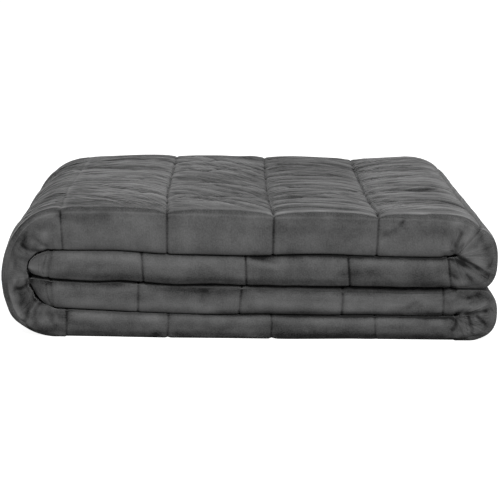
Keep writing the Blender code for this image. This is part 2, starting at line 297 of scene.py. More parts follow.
def run_at(length):
    """Number of the run at a distance along the strip."""
    return path_run[np.searchsorted(path_length, length).clip(max=len(path_run) - 1)]


squares_along = [start + (end - start) * graded(end - start, STATION_STEP)[:-1]
                 for start, end in zip(cross_seams[:-1], cross_seams[1:])]
hem_part = 1.0 - (1.0 - np.linspace(0.0, 1.0, HEM_STATIONS + 1)[1:]) ** HEM_CROWDING
first_hem = (cross_seams[0] * (1.0 - hem_part))[::-1]
last_hem = cross_seams[-1] + (path_length[-1] - cross_seams[-1]) * hem_part
station = np.concatenate([first_hem, *squares_along, cross_seams[-1:], last_hem])
fold_runs = [run_number[name] for name in FOLDS]
between = (station[:-1] + station[1:]) / 2
near_fold = [np.isin(run_at(between + shift), fold_runs)
             for shift in (-FOLD_MARGIN, 0.0, FOLD_MARGIN)]
cuts = np.where(np.any(near_fold, axis=0), np.ceil(np.diff(station) / FOLD_STEP), 1).astype(int)
station = np.concatenate([np.linspace(start, end, count, endpoint=False)
                          for start, end, count in zip(station[:-1], station[1:], cuts)]
                         + [station[-1:]])
in_hem = np.concatenate([hem_part[::-1], np.zeros(len(station) - 2 * HEM_STATIONS), hem_part])
station_run = run_at(station)

square_row = graded(DEPTH / SQUARES_ACROSS, ROW_STEP)
outer_square = np.concatenate([k + square_row[:-1] for k in range(SQUARES_ACROSS)]
                              + [[SQUARES_ACROSS]])
edge_turn = np.linspace(0.0, math.pi / 2, EDGE_TURN_ROWS, endpoint=False)
edge_face = np.linspace(0.0, 1.0, EDGE_FACE_ROWS, endpoint=False)
edge_face = 1.0 - (1.0 - edge_face) ** EDGE_FACE_CROWDING
edge_part = np.concatenate([EDGE_TURN_PART * (1.0 - np.cos(edge_turn)),
                            EDGE_TURN_PART + (1.0 - EDGE_TURN_PART) * edge_face])
edge_round = np.concatenate([1.0 - np.sin(edge_turn), np.zeros(EDGE_FACE_ROWS)])
edge_roll = ((edge_part - SEAM_ROLL_START) / (1.0 - SEAM_ROLL_START)).clip(min=0.0)
edge_roll = edge_roll ** SEAM_ROLL_POWER

FRONT, OUTER, BACK, INNER = range(4)
edge_rows, outer_rows = len(edge_part), len(outer_square)
row_face = np.repeat([FRONT, OUTER, BACK, INNER], [edge_rows, outer_rows, edge_rows, INNER_ROWS])


def by_face(front, outer, back, inner):
    """A value at each row around the section: the front edge's, outer, back edge's and inner."""
    counts = (edge_rows, outer_rows, edge_rows, INNER_ROWS)
    return np.concatenate([np.broadcast_to(values, count).astype(float)
                           for values, count in zip((front, outer, back, inner), counts)])


row_part = by_face(edge_part, 1.0, edge_part[::-1], 0.0)
row_round = by_face(edge_round, 0.0, edge_round[::-1], 1.0)
row_roll = by_face(edge_roll, 1.0, edge_roll[::-1], 0.0)
row_square = by_face(0.0, outer_square, SQUARES_ACROSS, 0.0)
row_across = by_face(-1.0, 2 * outer_square / SQUARES_ACROSS - 1, 1.0,
                     np.linspace(1.0, -1.0, INNER_ROWS + 2)[1:-1])
front, on_outer, inner_face = (row_face == face for face in (FRONT, OUTER, INNER))

# ---- the surface before its creases ----

LONG_SEAM_DEPTH = 3.2      # how far a seam along the strip is sunk below the squares beside it
CROSS_SEAM_DEPTH = 4.0     # the same for a seam across the strip
GROOVE_REACH = 0.11        # how wide a groove opens to each side, in parts of a square
BACK_FILL = 0.5            # part of a cross seam's depth that is filled up at the back edge,
BACK_FILL_Y = (120.0, 230.0)  # growing between these y
MIDDLE_FOLD_SEAM = 10      # the seam half way round the big fold
FOLD_SEAM_FILL = {9: 0.7, MIDDLE_FOLD_SEAM: 0.9, 15: 0.9}  # filled up part by a fold
EDGE_PINCH = 2.6           # how far a cross seam draws the front and back edges in
# How far the cross seams stray forward along the strip, at some places in y
SEAM_STRAY_Y = (-250.0, -180.0, -90.0, -20.0, 60.0, 140.0, 240.0)
SEAM_STRAY = (0.0, 1.4, 2.6, 1.5, 0.5, -0.6, -2.4)
EDGE_SWAY = 1.2            # how far the front and back edges stray from a straight line
SWAY_WAVE = 330.0
ROLL_REACH = 6.0           # the outer face falls to a dropped seam over this length
HEM_NOSE_BACK = 4.0        # how far the front and back edges draw back at a strip end
HEM_INNER_ROUND = 0.4      # part of the inner edge's rounding that stays there

# Shape of the strip ends: part of the hem, and the parts of the thickness that are gone on the
# inner and the outer side of the first end and of the last end
HEM_SHAPE = np.array([
    (0.00, 0.00, 0.00, 0.00, 0.00),
    (0.25, 0.04, 0.01, 0.06, 0.00),
    (0.42, 0.09, 0.03, 0.15, 0.00),
    (0.58, 0.15, 0.04, 0.27, 0.00),
    (0.72, 0.23, 0.06, 0.42, 0.00),
    (0.84, 0.32, 0.10, 0.59, 0.01),
    (0.93, 0.42, 0.17, 0.74, 0.03),
    (0.98, 0.50, 0.24, 0.84, 0.05),
    (1.00, 0.56, 0.30, 0.90, 0.06),
])

# How far layer 3's front seam hangs down at some places in x
LAYER_3_DROP_X = (-60.0, 20.0, 78.0, 142.0, 185.0, 205.0)
LAYER_3_DROP = (0.4, 1.2, 2.8, 4.9, 4.2, 5.0)
# How far layer 4's front seam lies behind the foremost line at some places in x
LAYER_4_INSET_X = (-180.0, -130.0, -80.0, 40.0, 100.0)
LAYER_4_INSET = (6.0, 4.5, 1.0, 1.0, 6.0)
SEAM_WOBBLE = 0.7          # how far a front seam strays up and down,
WOBBLE_WAVE = 13.0         # and over what length
SEAM_FADE_Z = (76.0, 101.0)  # heights between which a fold's front seam comes in
FADED_INSET = 0.45         # part of its inset that stays there
LOW_PUFF = 1.6             # the big fold is pressed flat to this puff on the ground,
LOW_PUFF_HEIGHT = 30.0     # and less and less up to here

# How plain each cross seam shows on the front, in the seams' order
SEAM_STRENGTH = np.array([0.40, 0.75, 0.90, 0.90, 0.75, 0.50, 0.85, 0.95, 0.90, 0.75, 0.20, 0.50,
                          0.45, 0.40, 0.45, 0.12, 0.55, 0.65, 0.65, 0.65, 0.40])

# How much higher the top layer's front seam lies between two cross seams, at some places in x
EDGE_LIFT_X = (-180.0, -80.0, 20.0, 120.0, 200.0)
EDGE_LIFT = (2.4, 2.2, 1.0, 1.6, 0.0)
EDGE_LIFT_REACH = 14.0

# The seams along the strip, as they lie on the top layer: y at some places along it. The thirds
# were folded a little askew, so these seams slant.
LONG_SEAM_X = (-180.0, -80.0, 20.0, 120.0, 200.0)
LONG_SEAM_Y = {
    1: (-126.0, -134.0, -146.0, -152.0, -146.0),
    2: (-16.0, -22.0, -50.0, -70.0, -62.0),
    3: (92.0, 86.0, 56.0, 42.0, 46.0),
    4: (176.0, 172.0, 154.0, 142.0, 146.0),
}
SLANT_EASE = 25            # the slant comes in over this many stations
LATTICE = 61


def eased(value, start=0.0, end=1.0):
    """0 at start, 1 at end, and smooth between: three times the square less twice the cube."""
    value = ((value - start) / (end - start)).clip(0.0, 1.0)
    return value * value * (3.0 - 2.0 * value)


def lattice_noise(u, v, seed):
    """Smooth noise from -1 to 1: random values on a unit lattice, eased from one to the next.

    The easing is 6 t^5 - 15 t^4 + 10 t^3. The lattice repeats after LATTICE steps.
    """
    table = np.random.default_rng(seed).uniform(-1.0, 1.0, (LATTICE, LATTICE))
    i, j = np.floor(u).astype(int), np.floor(v).astype(int)
    a, b = ((t ** 3) * (t * (6 * t - 15) + 10) for t in (u - i, v - j))
    i, next_i, j, next_j = (number % LATTICE for number in (i, i + 1, j, j + 1))
    low = table[i, j] * (1 - a) + table[next_i, j] * a
    high = table[i, next_j] * (1 - a) + table[next_i, next_j] * a
    return low * (1 - b) + high * b


def in_runs(*names):
    """True at each station that lies in one of these runs."""
    return np.isin(station_run, [run_number[name] for name in names])


def smoothed(values, reach, count):
    """A path's value at each station, averaged over a short stretch of the strip."""
    return np.mean([np.interp(station + shift, path_length, values)
                    for shift in np.linspace(-reach, reach, count)], axis=0)


def along_runs(column, extra=0.0):
    """One column of RUNS at each station, eased from run to run."""
    return smoothed(run_values(column)[path_run] + extra, RUN_EASE, 5)


def off_seam(squares):
    """0 on a seam, near 1 in a square's middle: one less the exponential of the distance."""
    return 1.0 - np.exp(-np.abs(squares - np.round(squares)) / GROOVE_REACH)


def long_seam_lines(edge_seam):
    """y of the six seams along the strip at each station, evenly spaced but slanted on top."""
    even = np.linspace(-1.0, 1.0, SQUARES_ACROSS + 1)[:, None] * edge_seam
    on_top = in_runs("layer 1", "upper right", "left").astype(float)
    share = np.convolve(np.pad(on_top, SLANT_EASE // 2, mode="edge"),
                        np.ones(SLANT_EASE) / SLANT_EASE, "valid")
    for k, places in LONG_SEAM_Y.items():
        even[k] += share * (np.interp(station_x, LONG_SEAM_X, places) - even[k])
    return even.T


station_x = np.interp(station, path_length, path[:, OUTER_X])
outer_z = np.interp(station, path_length, path[:, OUTER_Z])
nearest_seam = np.abs(station[:, None] - cross_seams).argmin(axis=1)
seam_drop = along_runs("seam drop", np.where(
    path_run == run_number["layer 3"],
    np.interp(path[:, OUTER_X], LAYER_3_DROP_X, LAYER_3_DROP), 0.0))
seam_drop += SEAM_WOBBLE * lattice_noise(station / WOBBLE_WAVE, np.full_like(station, 0.5), 8)
seam_shown = np.where(in_runs(*FOLDS), eased(outer_z, *SEAM_FADE_Z), 1.0)
seam_inset = along_runs("seam inset") * (FADED_INSET + (1.0 - FADED_INSET) * seam_shown)
seam_inset = np.where(in_runs("layer 4"), np.interp(station_x, LAYER_4_INSET_X, LAYER_4_INSET),
                      seam_inset)
puff = along_runs("puff")
puff = np.where(in_runs("left"), LOW_PUFF + (puff - LOW_PUFF) * eased(outer_z / LOW_PUFF_HEIGHT),
                puff)[:, None]
inner_round = along_runs("edge round") * (1.0 - (1.0 - HEM_INNER_ROUND) * eased(in_hem * 2))
edge = DEPTH / 2 + np.minimum(along_runs("forward")
                              + EDGE_SWAY * np.sin(2 * math.pi * station / SWAY_WAVE), 0.0)
edge = edge - HEM_NOSE_BACK * (1.0 - np.sqrt(1.0 - in_hem ** 2))
gone = [np.interp(in_hem, HEM_SHAPE[:, 0], column) for column in HEM_SHAPE[:, 1:].T]
first_half = station < cross_seams.mean()
inner_gone, outer_gone = (np.where(first_half, *pair)[:, None]
                          for pair in ((gone[0], gone[2]), (gone[1], gone[3])))
kept = 1.0 - inner_gone - outer_gone

squares_passed = np.interp(station, cross_seams, np.arange(len(cross_seams)))
cross = np.where(in_hem > 0, 1.0, off_seam(squares_passed))[:, None]
bulge = 4 * row_part * (1 - row_part) * np.isin(row_face, (FRONT, BACK))
inset = row_round * inner_round[:, None] + row_roll * seam_inset[:, None]
front_strength = SEAM_STRENGTH[nearest_seam][:, None]
pinch = EDGE_PINCH * front_strength * (1.0 - cross) * bulge
lines = long_seam_lines(edge - seam_inset)
square_below = np.minimum(row_square.astype(int), SQUARES_ACROSS - 1)
slanted = lines[:, square_below] + (row_square - square_below) * (lines[:, square_below + 1]
                                                                 - lines[:, square_below])
y = np.where(on_outer, slanted, row_across * (edge[:, None] - inset - pinch))

long_fill = along_runs("seam fill")[:, None]
cross_fill = np.array([FOLD_SEAM_FILL.get(seam, 0.0) for seam in range(len(cross_seams))])
cross_fill = cross_fill[nearest_seam][:, None]
cross_fill = 1.0 - (1.0 - cross_fill) * (1.0 - BACK_FILL * eased(y, *BACK_FILL_Y))
push = kept * (LONG_SEAM_DEPTH * (long_fill + (1.0 - long_fill) * off_seam(row_square))
               + CROSS_SEAM_DEPTH * (cross_fill + (1.0 - cross_fill) * cross))
push = np.where(on_outer, np.minimum(push, puff), 0.0)
from_edge = edge[:, None] - seam_inset[:, None] - np.abs(y)
behind_seam = np.where(on_outer, from_edge, 0.0)
drop = seam_drop[:, None] * row_part * np.exp(-behind_seam / ROLL_REACH)
near_front = row_part ** 3 * (y < 0) * np.exp(-behind_seam / EDGE_LIFT_REACH)
lift = np.where(in_runs("layer 1"), np.interp(station_x, EDGE_LIFT_X, EDGE_LIFT), 0.0)
lift = lift[:, None] * cross * near_front

stray = np.where(in_hem[:, None] > 0, 0.0, row_part * np.interp(y, SEAM_STRAY_Y, SEAM_STRAY))
lean = np.interp(station, cross_seams, seam_leans) * np.where(in_hem > 0, 1.0 - in_hem, 1.0)
place = station[:, None] + stray + lean[:, None] * (1.0 - row_part)
rib = np.stack([np.interp(place, path_length, side) for side in path.T], axis=-1)
through = rib[..., [OUTER_X, OUTER_Z]] - rib[..., [INNER_X, INNER_Z]]
thickness = np.linalg.norm(through, axis=-1)
reach = (inner_gone + row_part * kept) * thickness + push - drop * kept + lift
points = np.empty((len(station), len(row_part), 3))
points[..., 0] = rib[..., INNER_X] + through[..., 0] / thickness * reach
points[..., 1] = y
points[..., 2] = rib[..., INNER_Z] + through[..., 1] / thickness * reach

# ---- creases ----

# On the front face: the runs it belongs to, depth (below 0 for a ridge), half width, and its
# points as x and z
FRONT_CREASES = [
    (("left",), 0.9, 3.6, [(-223, 92), (-217, 86), (-208, 84)]),
    (("left",), 0.9, 3, [(-207, 95), (-198, 88.5)]),
    (("left",), 0.7, 3.6, [(-221, 97), (-216, 94)]),
    (("left",), 1.5, 3.4, [(-219, 12), (-216, 20), (-212, 28), (-206, 38)]),
    (("left",), 1.5, 3.2, [(-208, 14), (-208, 22), (-205, 30), (-200, 35)]),
    (("left",), -0.9, 3.5, [(-212, 14), (-212, 24), (-207, 33)]),
    (("left",), 1.2, 4, [(-227, 45), (-216, 49)]),
    (("layer 1",), 1, 3.5, [(129, 101), (139, 105), (151, 118)]),
    (("layer 1",), 0.7, 2, [(112, 124), (109, 114)]),
    (("layer 1",), 0.6, 2, [(104, 123), (103, 114)]),
    (("upper right", "layer 1"), 1.5, 4, [(199, 91), (201, 97), (207, 110)]),
    (("upper right", "layer 1"), 1.2, 3, [(191, 84), (202, 88)]),
    (("upper right", "layer 2"), 1.8, 3.6, [(199, 82), (209, 75), (225, 65), (234, 62)]),
    (("upper right",), 1, 3.2, [(231, 73), (240, 81)]),
    (("upper right", "layer 2"), 1, 3.6, [(195, 66), (203, 60)]),
    (("upper right", "layer 2"), 0.8, 3.2, [(210, 66), (218, 59)]),
    (("layer 2",), 1, 3, [(4, 82), (14, 78), (26, 75)]),
    (("lower right", "layer 4"), 1, 3.4, [(201, 24), (202, 18), (200, 12), (196, 7)]),
    (("lower right", "layer 4"), 0.9, 3.2, [(213, 26), (216, 16), (217, 5)]),
    (("lower right", "layer 4"), 1.3, 3.2, [(221, 26), (232, 14)]),
    (("lower right", "layer 3"), 1.2, 3, [(205, 26), (219, 27), (233, 31)]),
    (("layer 3",), 0.8, 2.8, [(147, 27), (157, 32), (168, 40)]),
    (("layer 3",), 0.7, 2.4, [(137, 27), (145, 31)]),
]


def from_line(x, z, line):
    """Distances from the nearest of a line's straight pieces, and the length left to an end.

    The first distance is plain, the second square to the piece and below 0 on its right.
    """
    nearest = np.full(x.shape, np.inf)
    signed, left = np.zeros_like(x), np.zeros_like(x)
    lengths = [math.dist(start, end) for start, end in zip(line[:-1], line[1:])]
    passed = 0.0
    for (x0, z0), (x1, z1), length in zip(line[:-1], line[1:], lengths):
        along = ((x - x0) * (x1 - x0) + (z - z0) * (z1 - z0)) / length
        beside = ((x1 - x0) * (z - z0) - (z1 - z0) * (x - x0)) / length
        away = np.hypot(beside, along - along.clip(0.0, length))
        closer = away < nearest
        nearest = np.where(closer, away, nearest)
        signed = np.where(closer, beside, signed)
        left = np.where(closer, np.minimum(passed + along, sum(lengths) - passed - along), left)
        passed += length
    return nearest, signed, left


TROUGH_POINT = 1.4         # power of the distance in a trough: the lower, the more pointed
LIP, LIP_PLACE, LIP_WIDTH = 0.45, 1.9, 0.8  # a lip's height, place and half width


def trough(distance, width):
    """A trough of depth 1 between two low lips: a pointed bell down, a round one up beside it."""
    away = np.abs(distance) / width
    return LIP * np.exp(-((away - LIP_PLACE) / LIP_WIDTH) ** 2) - np.exp(-away ** TROUGH_POINT)


def bell(distance, width):
    """A round bell of height 1: the exponential of the distance squared."""
    return np.exp(-(distance / width) ** 2)


# On the top: depth (below 0 for a ridge), half width, and its points as x and y
TOP_CREASES = [
    (2.6, 4, [(-182, 103), (-140, 109), (-93, 100)]),
    (1.6, 3, [(-176, 60), (-130, 52), (-104, 58)]),
    (2.6, 3.6, [(-177, -15), (-146, -5), (-125, -6), (-101, -5)]),
    (2.2, 3.6, [(-159, -58), (-132, -89), (-103, -95)]),
    (-1.8, 6, [(-170, -112), (-150, -118), (-136, -116)]),
    (2.4, 4, [(-76, -3), (-39, -26), (-13, -45), (16, -46)]),
    (2.4, 3.6, [(-75, -84), (-44, -89), (-19, -119), (14, -136)]),
    (2, 3.6, [(-79, -171), (-49, -161), (-19, -189), (6, -196)]),
    (1.6, 3.2, [(-74, 96), (-40, 88), (0, 90)]),
    (2.2, 4, [(26, 51), (60, 64), (103, 54)]),
    (1.8, 3.4, [(26, -67), (55, -55), (103, -51)]),
    (2.4, 3.8, [(24, -147), (52, -136), (83, -122), (115, -107)]),
    (1.6, 3.4, [(24, 118), (66, 126), (112, 112)]),
    (2, 3.6, [(124, 112), (154, 144), (190, 150)]),
    (2.4, 4, [(123, 33), (158, 45), (202, 55)]),
    (2.2, 3.6, [(125, -99), (149, -72), (202, -63)]),
    (2.2, 3.6, [(127, -176), (153, -151), (194, -140)]),
    (2, 3.4, [(126, -221), (169, -195), (206, -200)]),
]
TOP_CREASE_DEPTH = 0.7     # how much of that depth shows beside the finer wrinkles

TOP_RUNS = ("upper right", "layer 1", "left", "lower right")

# Wrinkles that start at a cross seam. spacing: from one to the next. depth: of the deepest.
# rarity: how few are deep. width: half widths. reach: lengths in parts of the square.
GATHERS = (
    dict(spacing=36.0, depth=3.4, rarity=1.4, width=(4.5, 8.5), reach=(0.6, 1.5)),
    dict(spacing=16.0, depth=2.6, rarity=2.2, width=(2.4, 4.5), reach=(0.25, 1.1)),
)
GATHER_STRAY = 0.45        # how far a wrinkle strays from its even place, in parts of the spacing
GATHER_SLOPE = 0.08        # how much its slope strays
GATHER_BEND = 0.0008       # and how much it is bent
GATHER_START = (1.0, 15.0)  # it comes in between these from the seam
GATHER_FADE = 0.7          # power of the fall to its end
GATHER_SHALLOWEST = 0.08   # part of the deepest one's depth
GATHER_SIDE = 400.0        # they start this far out to both sides, to run in over the edges
GATHER_SEED = 11

# Which way the wrinkles run on top: how fast y grows with x, at some x, by the front and the back
DRIFT_X = (-236.0, -180.0, -130.0, -81.0, -78.0, -30.0, 20.0, 24.0, 70.0, 122.0, 126.0, 160.0,
           240.0)
DRIFT_FRONT = (-0.2, -0.3, -0.9, -0.9, -0.5, -1.1, -1.1, 0.4, -0.1, -0.6, 0.9, 0.3, -0.4)
DRIFT_BACK = (0.3, 0.3, 0.2, -0.2, -0.9, -1.5, -1.5, 0.4, -0.1, -0.6, 1.0, 0.4, 0.0)


def drift(x, y):
    """How far a wrinkle's line has moved in y at x: the slopes above, summed up from the left."""
    steps = np.linspace(DRIFT_X[0], DRIFT_X[-1], 200)
    moved = [np.cumsum(np.interp(steps, DRIFT_X, slopes)) * (steps[1] - steps[0])
             for slopes in (DRIFT_FRONT, DRIFT_BACK)]
    front_part = (0.5 - y / DEPTH).clip(0.0, 1.0)
    return (np.interp(x, steps, moved[0]) * front_part
            + np.interp(x, steps, moved[1]) * (1.0 - front_part))


def gathers(draw, spacing, depth, rarity, width, reach):
    """Wrinkles along the strip on the outer face: each one starts beside a cross seam and fades.

    A wrinkle is a trough beside a slanted line. Its depth grows over its first few millimetres and
    then falls evenly to nothing at its end.
    """
    height = np.zeros_like(y)
    outer = np.flatnonzero(on_outer)
    shown = [run_number[name] for name in TOP_RUNS]
    for number, seam in enumerate(cross_seams):
        for side in (-1, 1):
            neighbour = number + side
            if not 0 <= neighbour < len(cross_seams):
                continue
            if run_at((seam + cross_seams[neighbour]) / 2) not in shown:
                continue
            room = abs(cross_seams[neighbour] - seam)
            columns = np.flatnonzero(((station - seam) * side >= 0)
                                     & (np.abs(station - seam) <= room))
            cell = np.ix_(columns, outer)
            away = (station[columns, None] - seam) * side
            seam_x = np.interp(seam, path_length, path[:, OUTER_X])
            for start in np.arange(-GATHER_SIDE, GATHER_SIDE, spacing):
                first = start + draw.uniform(-GATHER_STRAY, GATHER_STRAY) * spacing
                length = room * draw.uniform(*reach)
                slope = draw.normal(0.0, GATHER_SLOPE)
                bend = draw.normal(0.0, GATHER_BEND)
                share = draw.uniform() ** rarity
                deep = (GATHER_SHALLOWEST + (1.0 - GATHER_SHALLOWEST) * share) * depth
                wide = draw.uniform(*width)
                turned = drift(station_x[columns], np.full(len(columns), first))
                turned = (turned - drift(seam_x, first)) * on_top[columns]
                centre = first + turned[:, None] + slope * away + bend * away ** 2
                slant = np.hypot(1.0, np.gradient(centre[:, 0]) / np.gradient(away[:, 0]))
                fade = (1.0 - away / length).clip(min=0.0) ** GATHER_FADE
                fade = fade * eased(away, *GATHER_START)
                height[cell] += deep * fade * trough(y[cell] - centre, wide * slant[:, None])
    return height


def outward(points):
    """Unit normals: the cross product of the steps along the strip and around the section."""
    along = np.gradient(points, axis=0)
    normal = np.cross(np.roll(points, -1, axis=1) - np.roll(points, 1, axis=1), along)
    return normal / np.linalg.norm(normal, axis=-1, keepdims=True).clip(min=1e-9)


def cloth_noise(along, around_length, seed):
    """Noise over the cloth, its bumps about so long along the strip and so wide around it."""
    return lattice_noise(station[:, None] / along, around / around_length, seed)


STITCH_GROOVE = 1.7        # depth and half width of the narrow groove right at a seam
STITCH_GROOVE_WIDTH = 1.2
FAINT_SEAM = 0.3           # part of a cross seam's depth that even a faint one has on the front
# The middle fold seam: part of its depth at the edge, how much more behind it, and how far behind
MIDDLE_GROOVE = (0.05, 0.75, 30.0)
EDGE_BAND = 200.0          # y past which a seam along the strip counts as the edge's
TIGHT_SEAM = 0.6           # part of that seam's depth that goes where the cloth is drawn tight
UNDER_PART = 0.7           # layer 4's edge has no groove past this part of its thickness
SEAM_LIP = 0.8             # the edge swells this much beside its front seam,
SEAM_LIP_PLACE = 3.8       # this far from it,
SEAM_LIP_WIDTH = 1.8       # and over this half width
FLAT_EDGE = (4.0, 22.0)    # wrinkles come in between these distances from the front edge
EDGE_RELIEF = 0.05         # part of their height that is left at the edge
TOP_START = (100.0, 115.0)  # heights at which the slanted top begins
FOLD_START = (104.0, 82.0)  # and at which a fold turns down
TOP_CREASE_START, TOP_CREASE_END = (-4.8, 7.2), (0.0, 12.0)  # how its two ends fade
# Lower wrinkles: how much is taken off towards the back, at the right and round a fold
BACK_CALM, BACK_CALM_Y = 0.6, (190.0, 240.0)
RIGHT_CALM, RIGHT_CALM_X = 0.8, (210.0, 224.0)
FOLD_CALM = 0.45
# Uneven filling: height, length along the strip and around it, seed, and part on hidden faces
SWELLS = ((1.2, 70.0, 30.0, 3, 0.35), (0.5, 30.0, 11.0, 4, 0.4))

steps_around = np.linalg.norm(np.diff(points, axis=1, append=points[:, :1]), axis=-1).mean(axis=0)
full_around = running(steps_around)
around = full_around[:-1]
seam_distance = np.abs(station - cross_seams[nearest_seam])[:, None]
outer_start, outer_end = around[edge_rows], around[edge_rows + outer_rows - 1]
up_edge = np.abs(around - np.where(np.arange(len(row_face)) < edge_rows, outer_start, outer_end))
long_seam_distance = np.where(on_outer, np.abs(y[..., None] - lines[:, None, :]).min(axis=-1),
                              up_edge)

visible = in_runs(*TOP_RUNS)[:, None]
shown_outer = on_outer & visible
on_top = eased(outer_z, *TOP_START) * visible[:, 0]
top_run = in_runs("layer 1", "upper right")[:, None]
round_fold = eased(outer_z, *FOLD_START)[:, None] * on_outer
draw = np.random.default_rng(GATHER_SEED)
height = sum(gathers(draw, **kind) for kind in GATHERS)
height *= 1.0 - BACK_CALM * eased(y, *BACK_CALM_Y)
for swell, along, across, seed, hidden in SWELLS:
    height += np.where(shown_outer, 1.0, hidden) * swell * cloth_noise(along, across, seed)
at_right = eased(station_x, *RIGHT_CALM_X)[:, None] * visible
height *= 1.0 - RIGHT_CALM * at_right * on_outer
height *= np.where(on_outer, EDGE_RELIEF + (1.0 - EDGE_RELIEF) * eased(from_edge, *FLAT_EDGE), 1.0)
height *= 1.0 - FOLD_CALM * round_fold
for depth, width, line in TOP_CREASES:
    x = points[..., 0]
    ends = eased(x - line[0][0], *TOP_CREASE_START) * eased(line[-1][0] - x, *TOP_CREASE_END)
    crease = depth * ends * trough(from_line(x, points[..., 1], line)[0], width)
    height += np.where(on_outer & top_run, TOP_CREASE_DEPTH * crease, 0.0)
relief = height.copy()

# Grooves at the seams: shallower where the edge or a fold draws them out
middle_seam = on_outer & (nearest_seam[:, None] == MIDDLE_FOLD_SEAM)
middle_groove = MIDDLE_GROOVE[0] + MIDDLE_GROOVE[1] * eased(from_edge, 0.0, MIDDLE_GROOVE[2])
at_edge = ~on_outer | (np.abs(y) > EDGE_BAND)
edge_groove = (seam_shown * run_values("edge groove")[station_run])[:, None]
cross_groove = bell(seam_distance, STITCH_GROOVE_WIDTH) * ~inner_face
cross_groove = cross_groove * np.where(on_outer, np.where(middle_seam, middle_groove,
                                                          1.0 - cross_fill),
                                       (FAINT_SEAM + (1.0 - FAINT_SEAM) * front_strength)
                                       * (1.0 - cross_fill))
long_groove = bell(long_seam_distance, STITCH_GROOVE_WIDTH) * np.where(at_edge, edge_groove, 1.0)
groove = STITCH_GROOVE * np.maximum(cross_groove, long_groove * (1.0 - TIGHT_SEAM * long_fill))
pressed_down = in_runs("layer 4")[:, None] & (row_part > UNDER_PART)
height -= np.where(pressed_down, 0.0, groove)
lip = SEAM_LIP * bell(long_seam_distance - SEAM_LIP_PLACE, SEAM_LIP_WIDTH)
height += np.where(on_outer, 0.0, lip)

# The nap's shade and painted light and shade: brushed patches on the front, more of them on a fold,
# and painted shade in its creases
FRONT_CREASE_SHADE = 0.2   # painted shade in a front crease, for each mm of its depth
FOLD_EASE = 12.0           # a fold's patches come in over this length
# Patches: how plain, length along the strip and around it, and seed; on all the front, in folds
BRUSHED = (0.15, 24.0, 11.0, 21)
FOLD_BRUSHED = ((0.26, 7.0, 5.0, 23), (0.20, 15.0, 9.0, 24))
folded_over = smoothed(np.isin(path_run, fold_runs), FOLD_EASE, 7)[:, None]
nap_and_painted_light = BRUSHED[0] * cloth_noise(*BRUSHED[1:])
for plain, *patch in FOLD_BRUSHED:
    nap_and_painted_light += folded_over * plain * cloth_noise(*patch)
nap_and_painted_light = np.where(front, nap_and_painted_light, 0.0)
for runs, depth, width, line in FRONT_CREASES:
    crease = depth * trough(from_line(points[..., 0], points[..., 2], line)[0], width)
    crease = np.where(in_runs(*runs)[:, None] & front, crease, 0.0)
    height += crease
    # painted shade in the crease
    nap_and_painted_light += FRONT_CREASE_SHADE * crease
